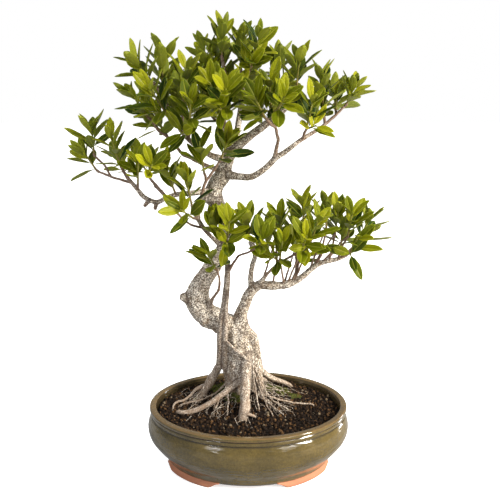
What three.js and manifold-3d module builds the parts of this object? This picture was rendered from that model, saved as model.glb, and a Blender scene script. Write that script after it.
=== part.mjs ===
// Ficus bonsai in an oval glazed pot, in millimetres, with +Z up.
// A pale S-shaped trunk stands on aerial roots in a dark soil mound. Its limbs carry
// leafy sprays in a wide crown, a left pad and a low right pad.

import * as THREE from 'three';
import { mergeVertices } from 'three/addons/utils/BufferGeometryUtils.js';
import Module from 'manifold-3d';

const wasm = await Module();
wasm.setup();

// Driving dimensions.

// Free space between two pieces that touch, round a root, and beside the sloping wall.
const GAP = 0.3;
const HOLE_GAP = 0.34;
const WALL_GAP = 0.5;

// The pot is an oval bowl, longer in X than in Y, on four low feet.
const POT_SEGMENTS = 36;
const FOOT_HEIGHT = 10;
const RIM_HEIGHT = 99;
const SOIL_LINE = 88;
const FLOOR_HEIGHT = 20;

// Rings of the pot wall: [half length, half width, height].
const POT_OUTSIDE = [
  [139, 110, FOOT_HEIGHT],
  [142, 113, 18],
  [156, 122, 34],
  [166.5, 128, 50],
  [168.5, 128.5, 62],
  [166, 126, 75],
  [161.5, 121.5, 86],
  [163.5, 123.5, 89],
  [162.5, 122.5, 91],
  [165, 125, 93.5],
  [164.5, 124.5, RIM_HEIGHT - 1],
  [162.5, 122.5, RIM_HEIGHT],
];
const POT_INSIDE = [
  [155, 115, RIM_HEIGHT],
  [152.5, 112.5, SOIL_LINE],
  [150, 110, 55],
  [122, 92, FLOOR_HEIGHT],
];

// Each foot is a wide curved block under one quarter of the base.
const FOOT_OUTER = [142, 112];
const FOOT_INNER = [113, 84];
const FOOT_MIDDLE = 0.79;
const FOOT_HALF_SPAN = 0.44;
const FOOT_STEPS = 5;
const FOOT_SUNK = 3;

// Two drain holes go through the floor of the pot.
const DRAIN_RADIUS = 12;
const DRAIN_X = 66;
const DRAIN_SIDES = 8;

// The soil is level at the wall and rises to a mound round the roots.
const MOUND_RISE = 27;
const MOUND_X = -5;
const MOUND_Y = 22;
const MOUND_SPREAD_X = 46;
const MOUND_SPREAD_Y = 42;
const SOIL_RINGS = [0.22, 0.44, 0.7];

// Sides of the round sections, by the radius of the wood.
const TRUNK_SIDES = 10;
const LIMB_SIDES = 7;
const BRANCH_SIDES = 5;
const TWIG_SIDES = 4;
const THIN_SIDES = 3;
const TRUNK_RADIUS = 11;
const LIMB_RADIUS = 6.2;
const BRANCH_RADIUS = 3.7;
const TWIG_RADIUS = 2.2;

// A spray hangs on a branchlet that leaves its limb flat and turns up towards the tip.
const TURN_UP = 0.65;
const SHOOT_LENGTH = 40;
const SHOOT_CLEAR = 4;
const BRANCHLET_RADIUS = 2.3;
const SHOOT_RADIUS = 1.9;
const SHOOT_TIP_RADIUS = 1.3;
const BRANCHLET_STEPS = 2;

// Leaves stand in a spiral up the shoot, one for each length of it. The shoot has three
// sides that wind with the spiral, so that each leaf grows out of the middle of a side.
const SPIRAL = (137.5 * Math.PI) / 180;
const SHOOT_SIDES = 3;
const SHOOT_WIND = SPIRAL - (2 * Math.PI) / SHOOT_SIDES;
const TURN_SPREAD = 0.4;
const OLD_PITCH = 1.35;
const TIP_PITCH = 0.55;
const PITCH_SPREAD = 0.3;
const OLD_LENGTH = 46;
const TIP_LENGTH = 36;
const LENGTH_SPREAD = 0.24;
const WIDTH_SHARE = 0.4;
const WIDTH_SPREAD = 0.1;
const ROLL_SPREAD = 0.7;
const LIFT = 0.2;

// The blade is flat above with a keel below, and it bends back towards its point.
const BLADE_KEEL = 1.3;
const BLADE_CURL = 0.13;
const BLADE_WIDE = [
  [0.38, 0.9],
  [0.72, 0.86],
];

// Numbers behind the seeded draws, and the step between the seeds of two sprays.
const DRAW_SPREAD = 2654435761;
const DRAW_FACTOR = 1664525;
const DRAW_STEP = 1013904223;
const DRAW_RANGE = 2 ** 32;
const SPRAY_SEED_STEP = 101;

// Room that a leaf keeps to the sprays and the wood round it.
const SPRAY_ROOM = 2.4;
const WOOD_ROOM = 1.6;

// Tries for one leaf, in order: [turn, share of the pitch, share of the length].
const LEAF_TRIES = [
  [0, 1, 1],
  [0, 0.8, 1],
  [0.35, 0.85, 0.95],
  [-0.35, 0.85, 0.95],
  [0, 0.8, 0.8],
  [0.35, 0.65, 0.85],
  [-0.35, 0.65, 0.85],
  [0.7, 0.75, 0.8],
  [-0.7, 0.75, 0.8],
  [0, 0.5, 0.75],
  [0.35, 0.4, 0.7],
  [-0.35, 0.4, 0.7],
];

// Routes of the wood.

// Every point is [x, y, z, radius], from the pot's centre on the ground.
const LIMBS = {
  trunk: [
    [-12, 22, 84, 25],
    [-12, 22, 112, 25],
    [-12, 22, 146, 24],
    [-12, 22, 177, 23],
    [-14, 21, 202, 22],
    [-24, 20, 222, 19.5],
    [-44, 20, 235, 18.5],
    [-65, 21, 245, 20],
    [-80, 22, 262, 20.5],
    [-84, 22, 279, 20],
    [-79, 21, 297, 17],
    [-67, 19, 316, 14.5],
    [-54, 16, 338, 13.5],
    [-40, 13, 360, 12.5],
    [-32, 12, 379, 12],
    [-34, 12, 400, 11.5],
    [-42, 12, 421, 11.5],
    [-51, 11, 440, 12.5],
    [-53, 10, 455, 13.5],
    [-48, 9, 469, 13],
    [-39, 8, 484, 11.5],
    [-33, 7, 500, 9.5],
    [-28, 6, 517, 9],
    [-26, 5, 531, 8.5],
  ],
  right_limb: [
    [-12, 20, 194, 18],
    [-14, 18, 227, 15],
    [-11, 14, 253, 10.5],
    [-4, 9, 275, 9],
    [5, 5, 293, 8.5],
    [16, 2, 303.5, 8.3],
    [30, -1, 305.5, 7.3],
    [46, -4, 305.5, 6.9],
    [62, -6, 308.5, 6.7],
    [77, -7, 315, 5.4],
    [90, -7, 324, 5],
    [102, -6, 335, 4.7],
    [115, -4, 343, 4.2],
    [129, -1, 346, 4],
    [144, 3, 348, 3.4],
    [157, 7, 353, 2.8],
    [167, 10, 361, 2.3],
    [174, 12, 371, 1.8],
  ],
  // Two aerial roots have grown together into the thin stem in front of the trunk.
  stem_left_strand: [
    [-77, 30, 84, 6],
    [-75, 33, 101, 6.8],
    [-68, 34, 116, 7.5],
    [-59, 32, 134, 7.5],
    [-51, 24, 154, 5.5],
    [-48, 10, 185, 4.6],
    [-47, 0, 214, 4.6],
    [-44, -6, 244, 4.6],
    [-39, -9, 273, 4.8],
    [-35, -10, 300, 5.2],
    [-33, -11, 324, 5],
    [-32, -13, 342, 4.4],
  ],
  stem_right_strand: [
    [-36, 34, 100, 3.2],
    [-35, 30, 122, 3.8],
    [-37, 18, 158, 4.6],
    [-38, 6, 190, 4.4],
    [-38, -3, 219, 4.4],
    [-37, -8, 248, 4.4],
    [-34, -11, 300, 4.2],
  ],
  stem_top: [
    [-32, -13, 337, 4.2],
    [-34, -16, 355, 3],
    [-37, -19, 372, 2.6],
    [-40, -22, 388, 2.2],
  ],
  // Roots at the foot of the tree.
  front_root: [
    [-4, 12, 184, 11],
    [-4, 2, 167, 9],
    [-4, -9, 151, 8],
    [-5, -22, 133, 7.8],
    [-5, -34, 116, 7.8],
    [-7, -45, 100, 8.2],
    [-8, -50, 86, 7.5],
  ],
  front_root_toe: [
    [-7, -47, 102, 4],
    [3, -50, 102, 2.8],
    [9, -49, 99, 2.2],
    [14, -47, 88, 1.6],
  ],
  long_left_root: [
    [-9, 2, 140, 6.5],
    [-25, -5, 131, 5.4],
    [-40, -12, 121, 5],
    [-54, -18, 113, 4.6],
    [-68, -22, 105, 4.4],
    [-84, -25, 98, 4.2],
    [-98, -26, 94, 4],
    [-109, -26, 93, 3.5],
    [-117, -21, 92, 2.6],
    [-119, -14, 85, 2],
  ],
  left_root_back: [
    [-71, 36, 115, 3.6],
    [-92, 34, 105, 2.6],
    [-99, 28, 98, 2.2],
    [-108, 18, 95, 2],
    [-121, 10, 94, 1.8],
    [-126, 0, 92, 1.6],
    [-124, -16, 82, 1.5],
  ],
  left_root_mid: [
    [-30, 22, 132, 3],
    [-45, 19, 116, 2.6],
    [-63, 14, 104, 2.3],
    [-81, 8, 99, 2.1],
    [-98, 4, 96, 1.8],
    [-115, 2, 92, 1.6],
    [-122, 1, 84, 1.4],
  ],
  right_buttress: [
    [-11, 12, 262, 4.5],
    [-9, 13, 243, 6],
    [-1, 14, 222, 8],
    [8, 16, 204, 8.5],
    [14, 22, 178, 7.5],
    [18, 31, 151, 6.5],
    [29, 40, 133, 5.4],
    [41, 50, 120, 4.6],
    [55, 60, 110, 3.9],
    [67, 69, 102, 3.2],
    [76, 76, 93, 2.4],
    [80, 79, 84, 2],
  ],
  right_side_root: [
    [12, 22, 168, 9],
    [16, 18, 148, 6.5],
    [21, 16, 130, 5],
    [27, 16, 112, 3.6],
    [31, 16, 95, 2.6],
  ],
  pink_root: [
    [-4, 0, 124, 2.4],
    [18, 2, 113, 2],
    [37, 0, 105, 1.9],
    [52, 0, 98.5, 1.8],
    [65, 1, 94.5, 1.8],
    [81, 2, 92, 1.6],
    [96, 3, 91, 1.5],
    [109, 4, 90, 1.4],
    [114, 4, 83, 1.3],
  ],
  right_root_a: [
    [6, -2, 122, 2.2],
    [23, -12, 112, 1.8],
    [38, -22, 105, 1.7],
    [51, -31, 98, 1.6],
    [59, -37, 94, 1.5],
    [63, -42, 84, 1.4],
  ],
  right_root_b: [
    [8, 14, 135, 2.4],
    [23, 22, 121, 2],
    [37, 31, 111, 1.8],
    [52, 38, 103, 1.6],
    [66, 44, 97, 1.5],
    [80, 48, 92, 1.4],
    [87, 50, 83, 1.3],
  ],
  right_root_c: [
    [10, 4, 150, 2.2],
    [18, -4, 128, 1.8],
    [30, -22, 106, 1.6],
    [40, -40, 95, 1.4],
    [44, -48, 84, 1.3],
  ],
  right_root_d: [
    [14, 12, 140, 2.2],
    [26, 6, 122, 1.8],
    [44, -8, 104, 1.6],
    [66, -16, 94, 1.4],
    [76, -20, 84, 1.3],
  ],
  strand_a: [
    [8, 2, 176, 2.2],
    [9, -8, 148, 1.8],
    [14, -20, 120, 1.6],
    [20, -36, 90, 1.4],
  ],
  strand_b: [
    [7, 12, 174, 2.4],
    [18, 1, 142, 1.8],
    [24, -6, 118, 1.6],
    [32, -12, 92, 1.4],
  ],
  left_rootlet_a: [
    [-46, -14, 118, 2],
    [-52, -24, 104, 1.6],
    [-58, -36, 93, 1.4],
    [-60, -40, 84, 1.3],
  ],
  left_rootlet_b: [
    [-34, -8, 124, 2],
    [-33, -22, 108, 1.6],
    [-34, -38, 94, 1.4],
    [-35, -42, 84, 1.3],
  ],
  diagonal_root: [
    [-35, -4, 209, 2.4],
    [-27, -4, 200, 2.8],
    [-16, -4, 190, 3],
    [-2, -3, 177, 2.8],
    [10, 2, 162, 2.4],
    [15, 8, 140, 2.2],
  ],
  back_root: [
    [-14, 30, 132, 13],
    [-22, 58, 112, 7],
    [-32, 82, 97, 4],
    [-35, 90, 84, 3],
  ],
  back_right_root: [
    [0, 34, 140, 12],
    [16, 62, 114, 6.5],
    [32, 84, 97, 3.8],
    [36, 92, 84, 3],
  ],
  // Old scars and stubs.
  knee_knob: [
    [-91, 20, 276, 14],
    [-106, 17, 279, 7],
  ],
  upper_scar: [
    [-52, 8, 444, 12],
    [-67, 2, 447, 7],
  ],
  pad_stub_a: [
    [-152, -12, 446, 3.4],
    [-160, -14, 437, 2.6],
  ],
  pad_stub_b: [
    [-141, -13, 443, 3.4],
    [-144, -15, 433, 2.6],
  ],
  // Crown.
  left_leader: [
    [-28, 4, 522, 7],
    [-34, 0, 540, 6],
    [-37, -5, 556, 5.4],
    [-38, -9, 573, 4.8],
    [-36, -12, 592, 4.2],
    [-34, -12, 612, 3.6],
    [-35, -10, 635, 3],
    [-38, -8, 658, 2.4],
  ],
  middle_leader: [
    [-26, 6, 524, 7],
    [-18, 12, 542, 5.4],
    [-15, 18, 560, 4.8],
    [-12, 22, 579, 4.2],
    [-10, 22, 601, 3.6],
    [-8, 20, 622, 3],
    [-11, 14, 642, 2.4],
  ],
  right_leader: [
    [-26, 5, 517, 8],
    [-11, 0, 533, 7.2],
    [6, -6, 546, 6.4],
    [21, -12, 558, 5.8],
    [36, -16, 569, 5],
    [51, -20, 581, 4.2],
    [64, -22, 597, 3.4],
    [71, -22, 614, 2.6],
  ],
  low_right_branch: [
    [-37, 7, 485, 8],
    [-25, 0, 483, 6.4],
    [-11, -8, 482, 5.2],
    [5, -16, 483, 4.9],
    [18, -22, 491, 4.7],
    [32, -26, 503, 4.5],
    [41, -28, 513, 4.4],
    [52, -28, 520, 4],
    [66, -26, 530, 3.6],
    [81, -23, 541, 3.2],
    [99, -18, 551, 2.8],
    [116, -12, 562, 2.4],
    [133, -5, 576, 2],
    [146, 0, 588, 1.7],
  ],
  low_right_riser: [
    [40, -28, 513, 3.6],
    [42, -32, 527, 2.8],
    [44, -38, 544, 2.4],
    [39, -46, 561, 2.1],
    [35, -56, 579, 1.9],
  ],
  upper_left_branch: [
    [-34, 6, 506, 6.5],
    [-54, -4, 513, 4.6],
    [-72, -12, 525, 4],
    [-89, -20, 540, 3.6],
    [-100, -26, 554, 3.2],
    [-108, -30, 571, 2.9],
    [-119, -33, 590, 2.7],
    [-127, -32, 607, 2.3],
    [-135, -30, 621, 2],
  ],
  thin_left_branch: [
    [-44, 5, 490, 5],
    [-62, 0, 497, 3.2],
    [-82, -2, 507, 2.7],
    [-103, -4, 519, 2.3],
    [-119, -4, 538, 2],
    [-137, -2, 553, 1.8],
    [-148, 0, 569, 1.7],
  ],
  pad_branch: [
    [-53, 8, 457, 7],
    [-73, -2, 457, 4.8],
    [-92, -8, 456, 4.2],
    [-110, -12, 455, 3.8],
    [-126, -13, 450, 3.6],
    [-141, -13, 443, 3.7],
    [-152, -12, 446, 3.6],
    [-162, -11, 452, 3.6],
    [-170, -12, 463, 3.3],
    [-179, -14, 475, 2.8],
    [-189, -18, 491, 2.2],
  ],
  pad_outer_twig: [
    [-179, -14, 474, 2.4],
    [-195, -10, 477, 1.9],
    [-211, -6, 482, 1.8],
    [-230, -4, 489, 1.7],
  ],
  pad_upper_twig: [
    [-211, -6, 482, 1.7],
    [-222, -4, 500, 1.6],
    [-235, -6, 514, 1.6],
  ],
  pad_back_branch: [
    [-126, -12, 451, 3],
    [-141, 4, 462, 2.4],
    [-155, 22, 475, 2],
  ],
  shoulder_branch: [
    [-40, 14, 366, 6],
    [-53, 0, 380, 3.8],
    [-66, -14, 398, 3.5],
    [-77, -28, 420, 3.4],
    [-83, -40, 439, 2.8],
  ],
  sucker: [
    [-76, -27, 419, 2.8],
    [-74, -30, 442, 2.5],
    [-69, -31, 462, 2.3],
    [-63, -30, 479, 2.1],
    [-52, -30, 494, 1.9],
    [-43, -30, 508, 1.7],
  ],
  crossing_twig: [
    [-68, -18, 403, 2.2],
    [-89, -32, 413, 1.7],
    [-107, -38, 431, 1.6],
    [-118, -38, 450, 1.6],
    [-136, -34, 471, 1.6],
    [-153, -26, 487, 1.6],
  ],
  // Low right side.
  stump: [
    [6, 4, 297, 6],
    [4, 4, 319, 4.4],
    [7, 2, 338, 4.2],
    [11, 0, 354, 4],
    [8, -3, 368, 4.6],
    [5, -6, 377, 5.2],
  ],
  fork_branch: [
    [17, 0, 306, 5],
    [30, -8, 326, 2.8],
    [47, -18, 345, 2.3],
    [65, -30, 360, 2],
    [81, -42, 374, 1.8],
  ],
  fork_riser: [
    [46, -17, 343, 2.1],
    [44, -12, 358, 1.8],
    [45, -10, 371, 1.7],
    [53, -14, 388, 1.6],
  ],
  pad_riser_a: [
    [70, -7, 313, 2.8],
    [78, -12, 337, 1.9],
    [84, -14, 359, 1.8],
    [86, -12, 383, 1.7],
    [89, -6, 406, 1.6],
  ],
  pad_riser_b: [
    [99, -6, 332, 2.6],
    [112, 4, 349, 1.9],
    [120, 12, 370, 1.7],
    [125, 16, 392, 1.6],
  ],
  pad_riser_c: [
    [129, 0, 345, 2.4],
    [133, -6, 370, 1.8],
    [136, -8, 391, 1.6],
  ],
  pad_riser_d: [
    [144, 2, 349, 2.2],
    [150, -6, 374, 1.8],
    [155, -14, 388, 1.6],
  ],
  cross_twig_low: [
    [-66, 14, 262, 5],
    [-56, -4, 286, 2.6],
    [-47, -18, 303, 2.4],
    [-45, -27, 324, 1.9],
    [-48, -33, 339, 1.6],
  ],
  stem_side: [
    [-30, -13, 334, 2.8],
    [-22, -24, 350, 2],
    [-13, -34, 364, 1.9],
    [1, -42, 371, 1.7],
    [14, -48, 380, 1.6],
  ],
};

// Roots that go down into the soil, each in its own hole.
const ROOTED = [
  'trunk',
  'stem_left_strand',
  'stem_right_strand',
  'front_root',
  'front_root_toe',
  'long_left_root',
  'left_root_back',
  'left_root_mid',
  'right_buttress',
  'right_side_root',
  'pink_root',
  'right_root_a',
  'right_root_b',
  'right_root_c',
  'right_root_d',
  'strand_a',
  'strand_b',
  'left_rootlet_a',
  'left_rootlet_b',
  'back_root',
  'back_right_root',
];

// Where each spray grows: [limb, point on that limb, tip of the shoot, leaves].
const SPRAYS = {
  top_spray: [
    ['upper_left_branch', 8, [-159, -34, 650], 9],
    ['upper_left_branch', 7, [-125, -8, 661], 9],
    ['upper_left_branch', 5, [-135, -70, 612], 8],
    ['upper_left_branch', 4, [-88, -50, 641], 9],
    ['upper_left_branch', 3, [-80, -86, 596], 8],
    ['upper_left_branch', 4, [-121, 40, 620], 8],
    ['thin_left_branch', 6, [-170, -20, 604], 8],
    ['thin_left_branch', 4, [-155, 52, 598], 8],
    ['left_leader', 4, [-66, 20, 670], 9],
    ['left_leader', 7, [-38, -10, 693], 9],
    ['left_leader', 4, [-53, -66, 622], 8],
    ['left_leader', 2, [-84, 78, 615], 8],
    ['left_leader', 5, [-41, 72, 659], 8],
    ['left_leader', 2, [-30, -98, 613], 9],
    ['middle_leader', 6, [-12, 14, 682], 9],
    ['middle_leader', 5, [15, -28, 683], 9],
    ['middle_leader', 3, [6, 88, 647], 8],
    ['right_leader', 7, [74, -26, 652], 9],
    ['right_leader', 5, [46, 28, 653], 9],
    ['right_leader', 4, [31, -66, 622], 8],
    ['right_leader', 3, [55, 78, 606], 8],
    ['low_right_branch', 13, [158, 0, 612], 9],
    ['low_right_branch', 11, [109, -14, 630], 9],
    ['low_right_branch', 12, [136, 54, 604], 8],
    ['low_right_branch', 9, [91, -66, 595], 8],
    ['low_right_riser', 4, [49, -112, 605], 9],
    ['low_right_riser', 3, [11, -96, 602], 9],
  ],
  middle_spray: [
    ['sucker', 5, [-32, -42, 535], 8],
    ['sucker', 3, [-70, -48, 533], 8],
    ['shoulder_branch', 4, [-91, -54, 484], 8],
    ['shoulder_branch', 3, [-96, -74, 442], 7],
  ],
  left_spray: [
    ['pad_upper_twig', 2, [-236, -8, 550], 8],
    ['pad_outer_twig', 3, [-249, 4, 512], 8],
    ['pad_branch', 10, [-203, -28, 540], 8],
    ['pad_branch', 9, [-208, 26, 506], 8],
    ['pad_branch', 8, [-162, -48, 507], 8],
    ['pad_back_branch', 2, [-173, 44, 504], 8],
    ['crossing_twig', 5, [-140, -62, 506], 8],
    ['pad_branch', 3, [-122, -30, 494], 7],
  ],
  right_spray: [
    ['stem_top', 3, [-54, -30, 410], 8],
    ['stem_top', 2, [-28, -60, 420], 8],
    ['cross_twig_low', 4, [-58, -46, 366], 8],
    ['stem_side', 4, [21, -70, 397], 8],
    ['stump', 5, [-3, -8, 414], 8],
    ['fork_riser', 3, [49, -22, 416], 8],
    ['fork_riser', 1, [29, 34, 385], 8],
    ['fork_branch', 4, [86, -72, 401], 9],
    ['fork_branch', 2, [51, -66, 390], 8],
    ['pad_riser_a', 4, [84, -10, 438], 8],
    ['pad_riser_a', 2, [104, -60, 422], 8],
    ['right_limb', 9, [79, 56, 397], 8],
    ['pad_riser_b', 3, [126, 24, 425], 8],
    ['pad_riser_c', 2, [138, -22, 426], 8],
    ['pad_riser_d', 2, [158, -34, 426], 8],
    ['right_limb', 17, [191, 12, 406], 9],
    ['right_limb', 15, [168, -36, 392], 8],
    ['right_limb', 14, [159, 58, 390], 8],
  ],
};

// Materials.

const GLAZE = new THREE.MeshStandardMaterial({
  color: 0x6f6338,
  roughness: 0.2,
  metalness: 0,
});
const SOIL = new THREE.MeshStandardMaterial({
  color: 0x2e2118,
  roughness: 0.95,
  metalness: 0,
});
const BARK = new THREE.MeshStandardMaterial({
  color: 0xb5a48c,
  roughness: 0.85,
  metalness: 0,
});
const LEAF = new THREE.MeshStandardMaterial({
  color: 0x5f7a1c,
  roughness: 0.4,
  metalness: 0,
});

// Solids and meshes.

const MERGE_DISTANCE = 1e-4;

// Turns a closed geometry into a solid that can be joined and cut.
function toSolid(geometry) {
  const bare = geometry.index ? geometry.clone() : mergeVertices(geometry);
  bare.deleteAttribute('normal');
  bare.deleteAttribute('uv');
  const merged = mergeVertices(bare, MERGE_DISTANCE);
  const index = Array.from(merged.index.array);
  const triangles = [];
  for (let i = 0; i < index.length; i += 3) {
    const [a, b, c] = index.slice(i, i + 3);
    if (a !== b && b !== c && c !== a) {
      triangles.push(a, b, c);
    }
  }
  return new wasm.Manifold(
    new wasm.Mesh({
      numProp: 3,
      vertProperties: new Float32Array(merged.attributes.position.array),
      triVerts: new Uint32Array(triangles),
    }),
  );
}

// Turns a solid into a named mesh.
function toMesh(name, solid, material) {
  const { vertProperties, triVerts } = solid.getMesh();
  const geometry = new THREE.BufferGeometry();
  geometry.setAttribute('position', new THREE.BufferAttribute(vertProperties, 3));
  geometry.setIndex(new THREE.BufferAttribute(triVerts, 1));
  geometry.computeVertexNormals();
  const mesh = new THREE.Mesh(geometry, material);
  mesh.name = name;
  return mesh;
}

function join(solids) {
  return solids.reduce((whole, solid) => whole.add(solid));
}

// Stacks oval rings [half length, half width, height] from the lower end to the upper.
function ovalGeometry(rings) {
  const profile = rings.map(([length, , height]) => new THREE.Vector2(length, height));
  const lathe = new THREE.LatheGeometry(profile, POT_SEGMENTS);
  const position = lathe.attributes.position;
  for (let i = 0; i < position.count; i += 1) {
    const [length, width, height] = rings[i % rings.length];
    const squeeze = length > 0 ? width / length : 0;
    position.setXYZ(i, position.getX(i), -position.getZ(i) * squeeze, height);
  }
  return lathe;
}

// Sweeps a round section through the points, with one radius for each point. The last
// section stands square to the end direction when there is one.
function sweptWood(points, radii, sides, endDirection) {
  const steps = points.length - 1;
  const tube = new THREE.CylinderGeometry(1, 1, 1, sides, steps);
  const frames = sweepFrames(points, endDirection);
  const position = tube.attributes.position;
  for (let i = 0; i < position.count; i += 1) {
    const station = Math.round((position.getY(i) + 0.5) * steps);
    const { across, up } = frames[station];
    const moved = points[station].clone();
    moved.addScaledVector(across, position.getX(i) * radii[station]);
    moved.addScaledVector(up, position.getZ(i) * radii[station]);
    position.setXYZ(i, moved.x, moved.y, moved.z);
  }
  return toSolid(tube);
}

// Gives each point two directions square to the route, carried on without twist.
function sweepFrames(points, endDirection) {
  const last = points.length - 1;
  let across = new THREE.Vector3(0, 1, 0);
  return points.map((point, i) => {
    const before = points[Math.max(i - 1, 0)];
    const after = points[Math.min(i + 1, last)];
    const turned = i === last && endDirection;
    const along = turned ? endDirection.clone() : after.clone().sub(before).normalize();
    across = across.clone().addScaledVector(along, -across.dot(along)).normalize();
    const up = across.clone().cross(along);
    return { across, up };
  });
}

function sidesFor(radius) {
  if (radius >= TRUNK_RADIUS) {
    return TRUNK_SIDES;
  }
  if (radius >= LIMB_RADIUS) {
    return LIMB_SIDES;
  }
  if (radius >= BRANCH_RADIUS) {
    return BRANCH_SIDES;
  }
  return radius >= TWIG_RADIUS ? TWIG_SIDES : THIN_SIDES;
}

// One limb or root, or the hole for it when there is room round it.
function limbSolid(route, room = 0) {
  const points = route.map(([x, y, z]) => new THREE.Vector3(x, y, z));
  const sides = sidesFor(route[Math.floor(route.length / 2)][3]);
  const extra = room / Math.cos(Math.PI / sides);
  const radii = route.map((row) => row[3] + extra);
  const last = points.length - 1;
  points[0].add(points[0].clone().sub(points[1]).setLength(room));
  points[last].add(points[last].clone().sub(points[last - 1]).setLength(room));
  return sweptWood(points, radii, sides);
}

// Sprays.

// Seeded draws between 0 and 1.
function seededDraws(seed) {
  let state = (seed * DRAW_SPREAD) % DRAW_RANGE;
  return () => {
    state = (Math.imul(state, DRAW_FACTOR) + DRAW_STEP) >>> 0;
    return state / DRAW_RANGE;
  };
}

// Lays out one spray: a branchlet from its limb, and the straight shoot with the leaves.
function layOutSpray(name, seed, [limb, at, tip, leaves]) {
  const [x, y, z, radius] = LIMBS[limb][at];
  const start = new THREE.Vector3(x, y, z);
  const end = new THREE.Vector3(...tip);
  const bend = new THREE.Vector3(
    start.x + TURN_UP * (end.x - start.x),
    start.y + TURN_UP * (end.y - start.y),
    start.z + (1 - TURN_UP) * (end.z - start.z),
  );
  const curve = new THREE.QuadraticBezierCurve3(start, bend, end);
  const span = start.distanceTo(end);
  const length = (2 * span + start.distanceTo(bend) + bend.distanceTo(end)) / 3;
  const shootShare = Math.min(SHOOT_LENGTH, length - radius - SHOOT_CLEAR) / length;
  const foot = curve.getPoint(1 - shootShare);
  const along = end.clone().sub(foot).normalize();
  const branchlet = stations(BRANCHLET_STEPS).map((share) =>
    curve.getPoint(share * (1 - shootShare)),
  );
  branchlet[BRANCHLET_STEPS].addScaledVector(along, -GAP);
  return { name, seed, leaves, foot, end, along, branchlet };
}

// Even shares from 0 to 1.
function stations(steps) {
  return Array.from({ length: steps + 1 }, (_, i) => i / steps);
}

// Places leaf number i of a spray: where it starts, which way it goes and its size.
function placeLeaf(spray, i, [turn, pitchShare, lengthShare]) {
  const draw = seededDraws(spray.seed * SPRAY_SEED_STEP + i + 1);
  const age = i / (spray.leaves - 1);
  const share = (i + 0.5) / spray.leaves;
  const angle = spiralAngle(spray, i) + (draw() - 0.5) * TURN_SPREAD + turn;
  const opening = OLD_PITCH + (TIP_PITCH - OLD_PITCH) * age + (draw() - 0.5) * PITCH_SPREAD;
  const pitch = opening * pitchShare;
  const size = OLD_LENGTH + (TIP_LENGTH - OLD_LENGTH) * age;
  const length = size * (1 + (draw() - 0.5) * LENGTH_SPREAD) * lengthShare;
  const width = length * (WIDTH_SHARE + (draw() - 0.5) * WIDTH_SPREAD);
  const roll = (draw() - 0.5) * ROLL_SPREAD;

  const { along } = spray;
  const direction = along.clone().multiplyScalar(Math.cos(pitch));
  direction.addScaledVector(outward(spray, angle), Math.sin(pitch));
  direction.z += LIFT;
  direction.normalize();
  const facing = along.clone().addScaledVector(direction, -along.dot(direction)).normalize();
  facing.applyAxisAngle(direction, roll);
  const aside = direction.clone().cross(facing);
  const base = spray.foot.clone().lerp(spray.end, share);
  return { side: i, base, direction, facing, aside, length, width };
}

function spiralAngle(spray, i) {
  return spray.seed + i * SPIRAL;
}

// The direction square to the shoot at an angle round it.
function outward({ along }, angle) {
  const across = new THREE.Vector3(0, 1, 0).addScaledVector(along, -along.y).normalize();
  const up = along.clone().cross(across);
  return across.multiplyScalar(Math.cos(angle)).addScaledVector(up, Math.sin(angle));
}

// A point of the blade: share of its length, distance from the midrib, and its lift.
function bladePoint(leaf, share, across, lift) {
  return leaf.base
    .clone()
    .addScaledVector(leaf.direction, leaf.length * share)
    .addScaledVector(leaf.aside, across)
    .addScaledVector(leaf.facing, lift - BLADE_CURL * leaf.length * share * share);
}

// The closed mesh of a spray: a winding three-sided shoot, with each blade raised from
// one side of it through two sections to a point.
function sprayGeometry(spray, leaves) {
  const vertices = [];
  const faces = [];
  for (let ring = 0; ring <= spray.leaves; ring += 1) {
    const share = ring / spray.leaves;
    const radius = SHOOT_RADIUS + (SHOOT_TIP_RADIUS - SHOOT_RADIUS) * share;
    for (let corner = 0; corner < SHOOT_SIDES; corner += 1) {
      const wound = (ring - 0.5) * SHOOT_WIND + ((corner - 0.5) * 2 * Math.PI) / SHOOT_SIDES;
      const middle = spray.foot.clone().lerp(spray.end, share);
      vertices.push(middle.addScaledVector(outward(spray, spray.seed + wound), radius));
    }
  }
  const top = spray.leaves * SHOOT_SIDES;
  faces.push([0, 2, 1], [top, top + 1, top + 2]);
  for (let i = 0; i < spray.leaves; i += 1) {
    for (let side = 0; side < SHOOT_SIDES; side += 1) {
      const next = (side + 1) % SHOOT_SIDES;
      const quad = [i * 3 + side, i * 3 + next, i * 3 + 3 + next, i * 3 + 3 + side];
      const leaf = leaves.find((grown) => grown.side === i && i % SHOOT_SIDES === side);
      if (leaf) {
        raiseBlade(leaf, quad, vertices, faces);
      } else {
        faces.push([quad[0], quad[1], quad[2]], [quad[0], quad[2], quad[3]]);
      }
    }
  }
  const geometry = new THREE.BufferGeometry().setFromPoints(vertices);
  geometry.setIndex(faces.flat());
  return geometry;
}

// Raises one blade from the four corners of a side of the shoot.
function raiseBlade(leaf, [lowLeft, lowRight, highRight, highLeft], vertices, faces) {
  const first = vertices.length;
  for (const [share, wide] of BLADE_WIDE) {
    const half = (leaf.width / 2) * wide;
    vertices.push(bladePoint(leaf, share, half, 0));
    vertices.push(bladePoint(leaf, share, -half, 0));
    vertices.push(bladePoint(leaf, share, 0, -BLADE_KEEL));
  }
  vertices.push(bladePoint(leaf, 1, 0, 0));
  const [left, right, keel, point] = [first, first + 1, first + 2, first + 6];
  faces.push([lowLeft, lowRight, keel], [lowRight, right, keel], [lowRight, highRight, right]);
  faces.push([highRight, left, right], [highRight, highLeft, left]);
  faces.push([highLeft, lowLeft, left], [lowLeft, keel, left]);
  for (let k = 0; k < 3; k += 1) {
    const [here, beside] = [first + k, first + ((k + 1) % 3)];
    faces.push([beside, here, here + 3], [beside, here + 3, beside + 3]);
    faces.push([beside + 3, here + 3, point]);
  }
}

// Room round the leaves.

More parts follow.
